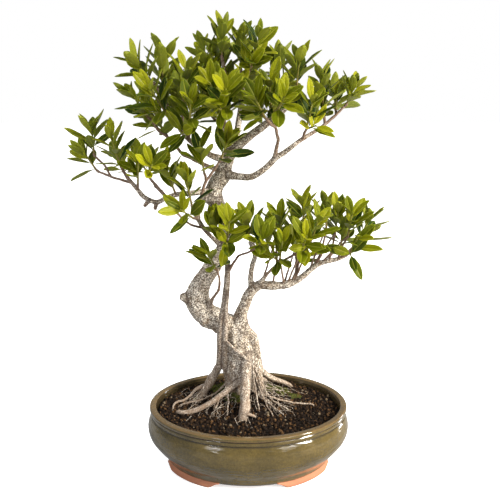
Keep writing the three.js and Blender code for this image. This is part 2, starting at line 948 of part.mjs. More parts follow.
const LEAF_PROBES = [
  [0.25, 0.6],
  [0.38, 0.9],
  [0.55, 0.9],
  [0.72, 0.86],
  [0.86, 0.43],
].flatMap(([share, across]) => [
  [share, -across],
  [share, 0],
  [share, across],
]);
LEAF_PROBES.push([1, 0]);

// Distance from a point to a piece of wood between two points with a radius at each.
function distanceToWood(point, [from, to, fromRadius, toRadius]) {
  const along = to.clone().sub(from);
  const share = THREE.MathUtils.clamp(point.clone().sub(from).dot(along) / along.lengthSq(), 0, 1);
  const radius = fromRadius + (toRadius - fromRadius) * share;
  return point.distanceTo(along.multiplyScalar(share).add(from)) - radius;
}

function pairs(points, radii) {
  return points.slice(1).map((point, i) => [points[i], point, radii[i], radii[i + 1]]);
}

function nearest(point, pieces) {
  return pieces.reduce((best, piece) => Math.min(best, distanceToWood(point, piece)), Infinity);
}

const BRANCHLET_RADII = stations(BRANCHLET_STEPS).map(
  (share) => BRANCHLET_RADIUS + (SHOOT_RADIUS - BRANCHLET_RADIUS) * share,
);
const SHOOT_RADII = [SHOOT_RADIUS, SHOOT_TIP_RADIUS];

// The leaves of a spray stay nearer to its own shoot than to any other one, and clear
// of all the wood, so that no two sprays cross.
function hasRoom(leaf, spray, sprays, wood) {
  return LEAF_PROBES.every(([share, across]) => {
    const point = bladePoint(leaf, share, (across * leaf.width) / 2, 0);
    const own = nearest(point, spray.axis);
    const others = sprays.filter((other) => other !== spray);
    return (
      others.every((other) => nearest(point, other.axis) - own > SPRAY_ROOM) &&
      nearest(point, wood) > WOOD_ROOM
    );
  });
}

function growLeaves(spray, sprays, wood) {
  const grown = [];
  for (let i = 0; i < spray.leaves; i += 1) {
    const leaf = LEAF_TRIES.map((attempt) => placeLeaf(spray, i, attempt)).find((candidate) =>
      hasRoom(candidate, spray, sprays, wood),
    );
    if (leaf) {
      grown.push(leaf);
    }
  }
  return grown;
}

// The pot.

function buildPot() {
  const floorCentre = [0, 0, FLOOR_HEIGHT];
  const baseCentre = [0, 0, FOOT_HEIGHT];
  const rings = [baseCentre, ...POT_OUTSIDE, ...POT_INSIDE, floorCentre];
  const bowl = toSolid(ovalGeometry(rings));
  const feet = [0, 1, 2, 3].map((quarter) => {
    const middle = quarter % 2 === 0 ? FOOT_MIDDLE : Math.PI - FOOT_MIDDLE;
    return footSolid(quarter < 2 ? middle : -middle);
  });
  const drains = [-DRAIN_X, DRAIN_X].map((x) => {
    const drain = new THREE.CylinderGeometry(
      DRAIN_RADIUS,
      DRAIN_RADIUS,
      FLOOR_HEIGHT,
      DRAIN_SIDES,
    );
    drain.rotateX(Math.PI / 2);
    drain.translate(x, 0, (FLOOR_HEIGHT + FOOT_HEIGHT) / 2);
    return toSolid(drain);
  });
  return join([bowl, ...feet]).subtract(join(drains));
}

// One foot: a curved block that follows the oval base round its corner.
function footSolid(middle) {
  const corner = ([length, width], angle) =>
    new THREE.Vector2(length * Math.cos(angle), width * Math.sin(angle));
  const angles = Array.from(
    { length: FOOT_STEPS + 1 },
    (_, i) => middle - FOOT_HALF_SPAN + (2 * FOOT_HALF_SPAN * i) / FOOT_STEPS,
  );
  const outer = angles.map((angle) => corner(FOOT_OUTER, angle));
  const inner = angles
    .slice(1, -1)
    .reverse()
    .map((angle) => corner(FOOT_INNER, angle));
  const outline = new THREE.Shape([...outer, ...inner]);
  const foot = new THREE.ExtrudeGeometry(outline, {
    depth: FOOT_HEIGHT + FOOT_SUNK,
    bevelEnabled: false,
  });
  return toSolid(foot);
}

// The soil.

function soilHeight(x, y) {
  const acrossX = (x - MOUND_X) / MOUND_SPREAD_X;
  const acrossY = (y - MOUND_Y) / MOUND_SPREAD_Y;
  return SOIL_LINE + MOUND_RISE * Math.exp(-(acrossX * acrossX + acrossY * acrossY) / 2);
}

function buildSoil() {
  const wall = POT_INSIDE.slice(1)
    .reverse()
    .map(([length, width, height]) => [length - WALL_GAP, width - WALL_GAP, height]);
  wall[0][2] += GAP;
  const [edgeLength, edgeWidth] = wall[wall.length - 1];
  const top = [...SOIL_RINGS]
    .reverse()
    .map((share) => [edgeLength * share, edgeWidth * share, SOIL_LINE]);
  const rings = [[0, 0, wall[0][2]], ...wall, ...top, [0, 0, SOIL_LINE]];
  const body = ovalGeometry(rings);
  const position = body.attributes.position;
  for (let i = 0; i < position.count; i += 1) {
    if (i % rings.length > wall.length) {
      position.setZ(i, soilHeight(position.getX(i), position.getY(i)));
    }
  }
  const holes = ROOTED.map((limb) => limbSolid(LIMBS[limb], HOLE_GAP));
  return toSolid(body).subtract(join(holes));
}

// The tree.

const sprays = Object.entries(SPRAYS).flatMap(([group, rows]) =>
  rows.map((row, i) => [`${group}_${String(i + 1).padStart(2, '0')}`, row]),
);
const laidOut = sprays.map(([name, row], i) => layOutSpray(name, i + 1, row));

for (const spray of laidOut) {
  spray.axis = pairs([spray.foot, spray.end], SHOOT_RADII);
}

const limbWood = Object.values(LIMBS).flatMap((route) =>
  pairs(
    route.map(([x, y, z]) => new THREE.Vector3(x, y, z)),
    route.map((row) => row[3]),
  ),
);
const branchletWood = laidOut.flatMap((spray) => pairs(spray.branchlet, BRANCHLET_RADII));
const wood = [...limbWood, ...branchletWood];

function buildTree() {
  const limbs = Object.values(LIMBS).map((route) => limbSolid(route));
  const branchlets = laidOut.map((spray) =>
    sweptWood(spray.branchlet, BRANCHLET_RADII, THIN_SIDES, spray.along),
  );
  return join([...limbs, ...branchlets]);
}

function buildSpray(spray) {
  return toSolid(sprayGeometry(spray, growLeaves(spray, laidOut, wood)));
}

// Assembly.

const plant = new THREE.Group();
plant.add(toMesh('pot', buildPot(), GLAZE));
plant.add(toMesh('soil', buildSoil(), SOIL));
plant.add(toMesh('tree', buildTree(), BARK));
for (const spray of laidOut) {
  plant.add(toMesh(spray.name, buildSpray(spray), LEAF));
}

// The origin is the centre of the ground area that the whole plant covers.
const bonsai = new THREE.Group();
bonsai.add(plant);
const extent = new THREE.Box3().setFromObject(plant);
const middle = extent.getCenter(new THREE.Vector3());
plant.position.set(-middle.x, -middle.y, -extent.min.z);

export default bonsai;
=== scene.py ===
"""Ficus bonsai in an oval glazed pot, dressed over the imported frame.

Tables and sizes are in millimetres from the centre of the pot on the ground, with X to the
right, Y away from the front and Z up. Meshes are in metres in the frame of the part.
"""

import logging
import math
from dataclasses import dataclass, field
from enum import Enum

import bmesh
import bpy
import numpy as np
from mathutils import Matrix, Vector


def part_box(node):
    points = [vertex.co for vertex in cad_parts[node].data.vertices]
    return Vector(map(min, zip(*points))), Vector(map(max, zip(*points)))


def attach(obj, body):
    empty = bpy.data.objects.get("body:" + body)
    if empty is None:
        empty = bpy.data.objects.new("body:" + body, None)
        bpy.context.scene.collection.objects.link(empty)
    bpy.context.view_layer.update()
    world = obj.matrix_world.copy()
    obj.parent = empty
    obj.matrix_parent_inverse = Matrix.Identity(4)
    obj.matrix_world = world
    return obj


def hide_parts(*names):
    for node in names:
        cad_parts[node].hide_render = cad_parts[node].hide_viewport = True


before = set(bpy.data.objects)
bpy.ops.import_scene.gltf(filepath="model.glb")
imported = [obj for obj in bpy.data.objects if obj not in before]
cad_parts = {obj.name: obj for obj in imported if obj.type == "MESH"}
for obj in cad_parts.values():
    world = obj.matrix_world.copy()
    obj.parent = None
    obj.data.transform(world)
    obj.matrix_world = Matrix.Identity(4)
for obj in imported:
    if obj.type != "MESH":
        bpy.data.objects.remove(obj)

LOG = logging.getLogger("bonsai")
MM = 0.001
TURN = 2.0 * math.pi
Array = np.ndarray
Pair = tuple[float, float]
Triple = tuple[float, float, float]
Four = tuple[float, float, float, float]


class Crown(Enum):
    """The parts of the crown that carry sprays of leaves."""

    TOP = "top_spray"
    MIDDLE = "middle_spray"
    LEFT = "left_spray"
    RIGHT = "right_spray"


# Routes of the wood: each point is (x, y, z, radius).
ROUTES: dict[str, list[Four]] = {
    "trunk": [
        (-12, 22, 84, 25), (-12, 22, 112, 25), (-12, 22, 146, 24), (-12, 22, 177, 23),
        (-14, 21, 202, 22), (-24, 20, 222, 19.5), (-44, 20, 235, 18.5), (-65, 21, 245, 20),
        (-80, 22, 262, 20.5), (-84, 22, 279, 20), (-79, 21, 297, 17), (-67, 19, 316, 14.5),
        (-54, 16, 338, 13.5), (-40, 13, 360, 12.5), (-32, 12, 379, 12), (-34, 12, 400, 11.5),
        (-42, 12, 421, 11.5), (-51, 11, 440, 12.5), (-53, 10, 455, 13.5), (-48, 9, 469, 13),
        (-39, 8, 484, 11.5), (-33, 7, 500, 9.5), (-28, 6, 517, 9), (-26, 5, 531, 8.5),
    ],
    "right_limb": [
        (-12, 20, 194, 18), (-14, 18, 227, 15), (-11, 14, 253, 10.5), (-4, 9, 275, 9), (5, 5, 293, 8.5),
        (16, 2, 303.5, 8.3), (30, -1, 305.5, 7.3), (46, -4, 305.5, 6.9), (62, -6, 308.5, 6.7),
        (77, -7, 315, 5.4), (90, -7, 324, 5), (102, -6, 335, 4.7), (115, -4, 343, 4.2),
        (129, -1, 346, 4), (144, 3, 348, 3.4), (157, 7, 353, 2.8), (167, 10, 361, 2.3),
        (174, 12, 371, 1.8),
    ],
    "stem_left_strand": [
        (-77, 30, 84, 6), (-75, 33, 101, 6.8), (-68, 34, 116, 7.5), (-59, 32, 134, 7.5),
        (-50, 24, 154, 6.2), (-48, 10, 185, 4.6), (-47, 0, 214, 4.6), (-44, -6, 244, 4.6),
        (-39, -9, 273, 4.8), (-35, -10, 300, 5.2), (-33, -11, 324, 5), (-32, -13, 342, 4.4),
    ],
    "stem_right_strand": [
        (-36, 34, 100, 3.2), (-36, 30, 122, 4.2), (-39, 18, 158, 5.4), (-39, 6, 190, 4.6),
        (-38, -3, 219, 4.4), (-37, -8, 248, 4.4), (-34, -11, 300, 4.2),
    ],
    "stem_top": [(-32, -13, 337, 4.2), (-34, -16, 355, 3), (-37, -19, 372, 2.6), (-40, -22, 388, 2.2)],
    "front_root": [
        (-4, 12, 184, 11), (-4, 2, 167, 9), (-4, -9, 151, 8), (-5, -22, 133, 7.8), (-5, -34, 116, 7.8),
        (-7, -45, 100, 8.2), (-8, -50, 86, 7.5),
    ],
    "front_root_toe": [(-7, -47, 102, 4), (3, -50, 102, 2.8), (9, -49, 99, 2.2), (14, -47, 88, 1.6)],
    "long_left_root": [
        (-9, 2, 140, 6.5), (-25, -5, 131, 5.4), (-40, -12, 121, 5), (-54, -18, 113, 4.6),
        (-68, -22, 105, 4.4), (-84, -25, 98, 4.2), (-98, -26, 94, 4), (-109, -26, 93, 3.5),
        (-117, -21, 92, 2.6), (-119, -14, 85, 2),
    ],
    "left_root_back": [
        (-71, 36, 115, 3.6), (-92, 34, 105, 2.6), (-99, 28, 98, 2.2), (-108, 18, 95, 2),
        (-121, 10, 94, 1.8), (-126, 0, 92, 1.6), (-124, -16, 82, 1.5),
    ],
    "left_root_mid": [
        (-30, 22, 132, 3), (-45, 19, 116, 2.6), (-63, 14, 104, 2.3), (-81, 8, 99, 2.1),
        (-98, 4, 96, 1.8), (-115, 2, 92, 1.6), (-122, 1, 84, 1.4),
    ],
    "right_buttress": [
        (-11, 12, 262, 4.5), (-9, 13, 243, 6), (-1, 14, 222, 8), (8, 16, 204, 8.5), (14, 22, 178, 7.5),
        (18, 31, 151, 6.5), (29, 40, 133, 5.4), (41, 50, 120, 4.6), (55, 60, 110, 3.9),
        (67, 69, 102, 3.2), (76, 76, 93, 2.4), (80, 79, 84, 2),
    ],
    "right_side_root": [
        (12, 22, 168, 9), (16, 18, 148, 6.5), (21, 16, 130, 5), (27, 16, 112, 3.6), (31, 16, 95, 2.6),
    ],
    "pink_root": [
        (-4, 0, 124, 2.4), (18, 2, 115, 2), (37, 0, 109, 1.9), (52, 0, 103.5, 1.8), (65, 1, 99.5, 1.8),
        (81, 2, 96.5, 1.6), (96, 3, 94.5, 1.5), (109, 4, 92.5, 1.4), (115, 4, 84, 1.3),
    ],
    "right_root_a": [
        (6, -2, 122, 2.2), (23, -12, 112, 1.8), (38, -22, 105, 1.7), (51, -31, 98, 1.6),
        (59, -37, 94, 1.5), (63, -42, 84, 1.4),
    ],
    "right_root_b": [
        (8, 14, 135, 2.4), (23, 22, 121, 2), (37, 31, 111, 1.8), (52, 38, 103, 1.6), (66, 44, 97, 1.5),
        (80, 48, 92, 1.4), (87, 50, 83, 1.3),
    ],
    "right_root_c": [
        (10, 4, 150, 2.2), (18, -4, 128, 1.8), (30, -22, 106, 1.6), (40, -40, 95, 1.4),
        (44, -48, 84, 1.3),
    ],
    "right_root_d": [
        (14, 12, 140, 2.2), (26, 6, 122, 1.8), (44, -8, 104, 1.6), (66, -16, 94, 1.4),
        (76, -20, 84, 1.3),
    ],
    "strand_a": [(8, 2, 176, 2.2), (9, -8, 148, 1.8), (14, -20, 120, 1.6), (20, -36, 90, 1.4)],
    "strand_b": [(7, 12, 174, 2.4), (18, 1, 142, 1.8), (24, -6, 118, 1.6), (32, -12, 92, 1.4)],
    "left_rootlet_a": [
        (-46, -14, 118, 2), (-52, -24, 104, 1.6), (-58, -36, 93, 1.4), (-60, -40, 84, 1.3),
    ],
    "left_rootlet_b": [
        (-34, -8, 124, 2), (-33, -22, 108, 1.6), (-34, -38, 94, 1.4), (-35, -42, 84, 1.3),
    ],
    "diagonal_root": [
        (-35, -4, 209, 2.4), (-27, -4, 200, 2.8), (-16, -4, 190, 3), (-2, -3, 177, 2.8),
        (10, 2, 162, 2.4), (15, 8, 140, 2.2),
    ],
    "back_root": [(-14, 30, 132, 13), (-22, 58, 112, 7), (-32, 82, 97, 4), (-35, 90, 84, 3)],
    "back_right_root": [(0, 34, 140, 12), (16, 62, 114, 6.5), (32, 84, 97, 3.8), (36, 92, 84, 3)],
    "knee_knob": [(-91, 20, 276, 14), (-106, 17, 279, 7)],
    "upper_scar": [(-52, 8, 444, 12), (-67, 2, 447, 7)],
    "pad_stub_a": [(-152, -12, 446, 3.4), (-160, -14, 437, 2.6)],
    "pad_stub_b": [(-141, -13, 443, 3.4), (-144, -15, 433, 2.6)],
    "left_leader": [
        (-28, 4, 522, 7), (-34, 0, 540, 6), (-37, -5, 556, 5.4), (-38, -9, 573, 4.8),
        (-36, -12, 592, 4.2), (-34, -12, 612, 3.6), (-35, -10, 635, 3), (-38, -8, 658, 2.4),
    ],
    "middle_leader": [
        (-26, 6, 524, 7), (-18, 12, 542, 5.4), (-15, 18, 560, 4.8), (-12, 22, 579, 4.2),
        (-10, 22, 601, 3.6), (-8, 20, 622, 3), (-11, 14, 642, 2.4),
    ],
    "right_leader": [
        (-26, 5, 517, 8), (-11, 0, 533, 7.2), (6, -6, 546, 6.4), (21, -12, 558, 5.8), (36, -16, 569, 5),
        (51, -20, 581, 4.2), (64, -22, 597, 3.4), (71, -22, 614, 2.6),
    ],
    "low_right_branch": [
        (-37, 7, 485, 8), (-25, 0, 483, 6.4), (-11, -8, 482, 5.2), (5, -16, 483, 4.9),
        (18, -22, 491, 4.7), (32, -26, 503, 4.5), (41, -28, 513, 4.4), (52, -28, 520, 4),
        (66, -26, 530, 3.6), (81, -23, 541, 3.2), (99, -18, 551, 2.8), (116, -12, 562, 2.4),
        (133, -5, 576, 2), (146, 0, 588, 1.7),
    ],
    "low_right_riser": [
        (40, -28, 513, 3.6), (42, -32, 527, 2.8), (44, -38, 544, 2.4), (39, -46, 561, 2.1),
        (35, -56, 579, 1.9),
    ],
    "upper_left_branch": [
        (-34, 6, 506, 6.5), (-54, -4, 513, 4.6), (-72, -12, 525, 4), (-89, -20, 540, 3.6),
        (-100, -26, 554, 3.2), (-108, -30, 571, 2.9), (-119, -33, 590, 2.7), (-127, -32, 607, 2.3),
        (-135, -30, 621, 2),
    ],
    "thin_left_branch": [
        (-44, 5, 490, 5), (-62, 0, 497, 3.2), (-82, -2, 507, 2.7), (-103, -4, 519, 2.3),
        (-119, -4, 538, 2), (-137, -2, 553, 1.8), (-148, 0, 569, 1.7),
    ],
    "pad_branch": [
        (-53, 8, 457, 7), (-73, -2, 457, 4.8), (-92, -8, 456, 4.2), (-110, -12, 455, 3.8),
        (-126, -13, 450, 3.6), (-141, -13, 443, 3.7), (-152, -12, 446, 3.6), (-162, -11, 452, 3.6),
        (-170, -12, 463, 3.3), (-179, -14, 475, 2.8), (-189, -18, 491, 2.2),
    ],
    "pad_outer_twig": [
        (-179, -14, 474, 2.4), (-195, -10, 477, 1.9), (-211, -6, 482, 1.8), (-230, -4, 489, 1.7),
    ],
    "pad_upper_twig": [(-211, -6, 482, 1.7), (-222, -4, 500, 1.6), (-235, -6, 514, 1.6)],
    "pad_back_branch": [(-126, -12, 451, 3), (-141, 4, 462, 2.4), (-155, 22, 475, 2)],
    "shoulder_branch": [
        (-40, 14, 366, 6), (-53, 0, 380, 3.8), (-66, -14, 398, 3.5), (-77, -28, 420, 3.4),
        (-83, -40, 439, 2.8),
    ],
    "sucker": [
        (-76, -27, 419, 2.8), (-74, -30, 442, 2.5), (-69, -31, 462, 2.3), (-63, -30, 479, 2.1),
        (-52, -30, 494, 1.9), (-43, -30, 508, 1.7),
    ],
    "crossing_twig": [
        (-68, -18, 403, 2.2), (-89, -32, 413, 1.7), (-107, -38, 431, 1.6), (-118, -38, 450, 1.6),
        (-136, -34, 471, 1.6), (-153, -26, 487, 1.6),
    ],
    "stump": [
        (6, 4, 297, 6), (4, 4, 319, 4.4), (7, 2, 338, 4.2), (11, 0, 354, 4), (8, -3, 368, 4.6),
        (5, -6, 377, 5.2),
    ],
    "fork_branch": [
        (17, 0, 306, 5), (30, -8, 326, 2.8), (47, -18, 345, 2.3), (65, -30, 360, 2),
        (81, -42, 374, 1.8),
    ],
    "fork_riser": [(46, -17, 343, 2.1), (44, -12, 358, 1.8), (45, -10, 371, 1.7), (53, -14, 388, 1.6)],
    "pad_riser_a": [
        (70, -7, 313, 2.8), (78, -12, 337, 1.9), (84, -14, 359, 1.8), (86, -12, 383, 1.7),
        (89, -6, 406, 1.6),
    ],
    "pad_riser_b": [(99, -6, 332, 2.6), (112, 4, 349, 1.9), (120, 12, 370, 1.7), (125, 16, 392, 1.6)],
    "pad_riser_c": [(129, 0, 345, 2.4), (133, -6, 370, 1.8), (136, -8, 391, 1.6)],
    "pad_riser_d": [(144, 2, 349, 2.2), (150, -6, 374, 1.8), (155, -14, 388, 1.6)],
    "cross_twig_low": [
        (-66, 14, 262, 5), (-56, -4, 286, 2.6), (-47, -18, 303, 2.4), (-45, -27, 324, 1.9),
        (-48, -33, 339, 1.6),
    ],
    "stem_side": [
        (-30, -13, 334, 2.8), (-22, -24, 350, 2), (-13, -34, 364, 1.9), (1, -42, 371, 1.7),
        (14, -48, 380, 1.6),
    ],
}

# Sprays: the limb, the point of it that they start at, their tip and their leaves.
SPRAYS: dict[Crown, list[tuple[str, int, Triple, int]]] = {
    Crown.TOP: [
        ("upper_left_branch", 8, (-159, -34, 650), 9), ("upper_left_branch", 7, (-125, -8, 661), 9),
        ("upper_left_branch", 5, (-135, -70, 612), 8), ("upper_left_branch", 4, (-88, -50, 641), 9),
        ("upper_left_branch", 3, (-80, -86, 596), 8), ("upper_left_branch", 4, (-121, 40, 620), 8),
        ("thin_left_branch", 6, (-170, -20, 604), 8), ("thin_left_branch", 4, (-155, 52, 598), 8),
        ("left_leader", 4, (-66, 20, 670), 9), ("left_leader", 7, (-38, -10, 693), 9),
        ("left_leader", 4, (-53, -66, 622), 8), ("left_leader", 2, (-84, 78, 615), 8),
        ("left_leader", 5, (-41, 72, 659), 8), ("left_leader", 2, (-30, -98, 613), 9),
        ("middle_leader", 6, (-12, 14, 682), 9), ("middle_leader", 5, (15, -28, 683), 9),
        ("middle_leader", 3, (6, 88, 647), 8), ("right_leader", 7, (74, -26, 652), 9),
        ("right_leader", 5, (46, 28, 653), 9), ("right_leader", 4, (31, -66, 622), 8),
        ("right_leader", 3, (55, 78, 606), 8), ("low_right_branch", 13, (158, 0, 612), 9),
        ("low_right_branch", 11, (109, -14, 630), 9), ("low_right_branch", 12, (136, 54, 604), 8),
        ("low_right_branch", 9, (91, -66, 595), 8), ("low_right_riser", 4, (49, -112, 605), 9),
        ("low_right_riser", 3, (11, -96, 602), 9),
    ],
    Crown.MIDDLE: [
        ("sucker", 5, (-32, -42, 535), 8), ("sucker", 3, (-70, -48, 533), 8),
        ("shoulder_branch", 4, (-91, -54, 484), 8), ("shoulder_branch", 3, (-96, -74, 442), 7),
    ],
    Crown.LEFT: [
        ("pad_upper_twig", 2, (-236, -8, 550), 8), ("pad_outer_twig", 3, (-249, 4, 512), 8),
        ("pad_branch", 10, (-203, -28, 540), 8), ("pad_branch", 9, (-208, 26, 506), 8),
        ("pad_branch", 8, (-162, -48, 507), 8), ("pad_back_branch", 2, (-173, 44, 504), 8),
        ("crossing_twig", 5, (-140, -62, 506), 8), ("pad_branch", 3, (-122, -30, 494), 7),
    ],
    Crown.RIGHT: [
        ("stem_top", 3, (-54, -30, 410), 8), ("stem_top", 2, (-28, -60, 420), 8),
        ("cross_twig_low", 4, (-58, -46, 366), 8), ("stem_side", 4, (21, -70, 397), 8),
        ("stump", 5, (-3, -8, 414), 8), ("fork_riser", 3, (49, -22, 416), 8),
        ("fork_riser", 1, (29, 34, 385), 8), ("fork_branch", 4, (86, -72, 401), 9),
        ("fork_branch", 2, (51, -66, 390), 8), ("pad_riser_a", 4, (84, -10, 438), 8),
        ("pad_riser_a", 2, (104, -60, 422), 8), ("right_limb", 9, (79, 56, 397), 8),
        ("pad_riser_b", 3, (126, 24, 425), 8), ("pad_riser_c", 2, (138, -22, 426), 8),
        ("pad_riser_d", 2, (158, -34, 426), 8), ("right_limb", 17, (191, 12, 406), 9),
        ("right_limb", 15, (168, -36, 392), 8), ("right_limb", 14, (159, 58, 390), 8),
    ],
}


def unit(vectors: Array) -> Array:
    """Scales vectors to length one.

    Args:
        vectors: Array whose last axis holds x, y, z.

    Returns:
        The same directions with length one.
    """
    return vectors / np.linalg.norm(vectors, axis=-1, keepdims=True)


def smoothstep(low: float, high: float, value: Array) -> Array:
    """Goes from 0 at low to 1 at high as 3 t squared minus 2 t cubed.

    Args:
        low: Where the step starts.
        high: Where it ends.
        value: The values to look up.

    Returns:
        The height of the step at each value.
    """
    t = np.clip((value - low) / (high - low), 0.0, 1.0)
    return t * t * (3.0 - 2.0 * t)


def wave_noise(points: Array, size: Triple, seed: int) -> Array:
    """Smooth noise: the sum of 24 cosines of seeded direction and phase, about -1 to 1.

    Args:
        points: Array of points, (n, 3).
        size: Length of the waves along x, y and z.
        seed: Seed of the draws.

    Returns:
        One value for each point.
    """
    draws = np.random.default_rng(seed)
    count = 24
    directions = unit(draws.normal(size=(count, 3))) * draws.uniform(0.6, 1.4, (count, 1))
    phases = draws.uniform(0.0, TURN, count)
    angles = (points / np.array(size)) @ directions.T * TURN + phases
    return np.cos(angles).sum(axis=1) / math.sqrt(count)


def smooth_route(route: Array, step: float) -> Array:
    """Runs a smooth curve through the points of a route and samples it evenly.

    Between two points each column is the cubic Hermite curve whose slopes are the finite
    differences of the column over the distance along the route.

    Args:
        route: Points as rows of x, y, z and radius.
        step: Distance between two samples.

    Returns:
        The samples, in the same columns.
    """
    spans = np.linalg.norm(np.diff(route[:, :3], axis=0), axis=1)
    marks = np.concatenate([[0.0], np.cumsum(spans)])
    slopes = np.gradient(route, marks, axis=0)
    count = max(3, int(round(marks[-1] / step)) + 1)
    places = np.linspace(0.0, marks[-1], count)
    at = np.clip(np.searchsorted(marks, places, side="right") - 1, 0, len(marks) - 2)
    span = (marks[at + 1] - marks[at])[:, None]
    t = (places - marks[at])[:, None] / span
    rise = 3 * t**2 - 2 * t**3
    start = route[at] * (1 - rise) + slopes[at] * span * (t**3 - 2 * t**2 + t)
    return start + route[at + 1] * rise + slopes[at + 1] * span * (t**3 - t**2)


@dataclass
class Surface:
    """Points and faces of one or more closed surfaces, with the values materials read."""

    points: Array
    quads: Array
    triangles: Array
    values: dict[str, Array] = field(default_factory=dict)
    uv: Array | None = None
    crease: Array | None = None
    quad_values: dict[str, Array] = field(default_factory=dict)

    def fill(self, **values: float | Array) -> "Surface":
        """Sets values that materials read.

        Args:
            **values: Values by name, one for each point or the same for all.

        Returns:
            This surface.
        """
        for name, value in values.items():
            self.values[name] = np.broadcast_to(value, len(self.points)).astype(float)
        return self


def join(surfaces: list[Surface]) -> Surface:
    """Puts several surfaces into one list of points and faces.

    Args:
        surfaces: Surfaces with the same named values.

    Returns:
        One surface that holds them all.
    """
    starts = np.cumsum([0] + [len(surface.points) for surface in surfaces[:-1]])
    moved = list(zip(surfaces, starts))
    first = surfaces[0]
    return Surface(
        points=np.concatenate([surface.points for surface in surfaces]),
        quads=np.concatenate([surface.quads + start for surface, start in moved]),
        triangles=np.concatenate([surface.triangles + start for surface, start in moved]),
        values={
            name: np.concatenate([surface.values[name] for surface in surfaces])
            for name in first.values
        },
    )


def wander(points: Array, size: float, seed: int) -> Array:
    """Three values of smooth noise for each point, with waves of one size, as x, y and z."""
    return np.stack([wave_noise(points, (size,) * 3, seed + axis) for axis in range(3)], axis=1)


def skin(rings: Array, first: Array, last: Array) -> Surface:
    """Closes tubes through rings of points, with a pole at each end.

    Quads join ring i to ring i + 1 and point j to point j + 1. Their outer side is the
    direction round the ring crossed with the direction from ring to ring.

    Args:
        rings: Points as (tubes, rings, points of a ring, 3).
        first: The pole before the first ring of each tube, (tubes, 3).
        last: The pole behind the last ring of each tube, (tubes, 3).

    Returns:
        The closed tubes as one surface.
    """
    tubes, stations, sides, _ = rings.shape
    block = stations * sides + 2
    starts = np.arange(tubes)[:, None, None] * block
    ring = np.arange(stations - 1)[None, :, None] * sides
    here = np.arange(sides)[None, None, :]
    beside = (here + 1) % sides
    low = starts + ring
    quads = np.stack([low + here, low + beside, low + sides + beside, low + sides + here], -1)
    top = starts + (stations - 1) * sides
    poles = starts + stations * sides + np.zeros_like(here)
    lower = np.stack([starts + beside, starts + here, poles], -1)
    upper = np.stack([top + here, top + beside, poles + 1], -1)
    points = np.concatenate(
        [rings.reshape(tubes, -1, 3), first[:, None, :], last[:, None, :]], axis=1
    )
    return Surface(
        points=points.reshape(-1, 3),
        quads=quads.reshape(-1, 4),
        triangles=np.concatenate([lower.reshape(-1, 3), upper.reshape(-1, 3)]),
    )


def spread(values: Array, sides: int) -> Array:
    """Repeats one value for each ring over its points and the two poles of the tube.

    Args:
        values: One value for each ring, (rings,).
        sides: Points of a ring.

    Returns:
        One value for each point of the tube that skin makes.
    """
    return np.concatenate([np.repeat(values, sides), values[:1], values[-1:]])


def tube(path: Array, radii: Array, sides: int) -> Surface:
    """Carries a circle along a path and rounds off both ends.

    The circle at each point stands square to the path. Its first axis is the coordinate
    axis that the path follows least, crossed with the direction of the path.

    Args:
        path: Points of the path, (n, 3).
        radii: Radius at each point.
        sides: Points of the circle.

    Returns:
        The closed tube.
    """
    along = unit(np.gradient(path, axis=0))
    axis = np.eye(3)[np.argmin(np.abs(along).max(axis=0))]
    across = unit(np.cross(axis, along))
    up = np.cross(along, across)
    angles = np.arange(sides) * TURN / sides
    circle = np.cos(angles)[:, None] * across[:, None] + np.sin(angles)[:, None] * up[:, None]
    rings = path[:, None] + circle * np.asarray(radii)[:, None, None]
    first = path[0] - along[0] * radii[0] * 0.6
    last = path[-1] + along[-1] * radii[-1] * 0.6
    return skin(rings[None], first[None], last[None])


def oval_rings(profile: Array, segments: int) -> Array:
    """Oval rings of points: half length times cosine, half width times sine, and height."""
    angles = np.arange(segments) * TURN / segments
    return profile[:, None] * np.stack([np.cos(angles), np.sin(angles), angles * 0 + 1], axis=-1)


def pot_centre() -> Array:
    """The centre of the pot on the ground, in metres, worked out from its CAD box."""
    low, high = (np.array(corner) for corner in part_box("pot"))
    return np.array([(low[0] + high[0]) / 2, (low[1] + high[1]) / 2, low[2]])


CENTRE = pot_centre()


def make_mesh(name: str, surface: Surface) -> bpy.types.Mesh:
    """Puts a surface into a Blender mesh, in metres in the frame of the part.

    Args:
        name: Name of the mesh.
        surface: The points, in millimetres from the pot's centre, and the faces.

    Returns:
        The mesh, smooth all over but for the creases of the surface.
    """
    mesh = bpy.data.meshes.new(name)
    points = surface.points * MM + CENTRE
    sizes = np.concatenate([np.full(len(surface.quads), 4), np.full(len(surface.triangles), 3)])
    corners = np.concatenate([surface.quads.ravel(), surface.triangles.ravel()]).astype(np.int32)
    mesh.vertices.add(len(points))
    mesh.vertices.foreach_set("co", points.astype(np.float32).ravel())
    mesh.loops.add(len(corners))
    mesh.loops.foreach_set("vertex_index", corners)
    mesh.polygons.add(len(sizes))
    mesh.polygons.foreach_set("loop_start", np.concatenate([[0], np.cumsum(sizes)[:-1]]))
    mesh.update(calc_edges=True)
    mesh.shade_smooth()
    for value_name, values in surface.values.items():
        attribute = mesh.attributes.new(value_name, "FLOAT", "POINT")
        attribute.data.foreach_set("value", values.astype(np.float32))
    for value_name, values in surface.quad_values.items():
        attribute = mesh.attributes.new(value_name, "FLOAT", "FACE")
        padded = np.concatenate([values, np.zeros(len(surface.triangles))])
        attribute.data.foreach_set("value", padded.astype(np.float32))
    if surface.uv is not None:
        layer = mesh.uv_layers.new(name="UVMap")
        layer.uv.foreach_set("vector", surface.uv[corners].astype(np.float32).ravel())
    if surface.crease is not None:
        edges = np.empty(len(mesh.edges) * 2, dtype=np.int32)
        mesh.edges.foreach_get("vertices", edges)
        ends = surface.crease[edges.reshape(-1, 2)]
        sharp = mesh.attributes.new("sharp_edge", "BOOLEAN", "EDGE")
        sharp.data.foreach_set("value", (ends[:, 0] == ends[:, 1]) & (ends[:, 0] >= 0))
    return mesh


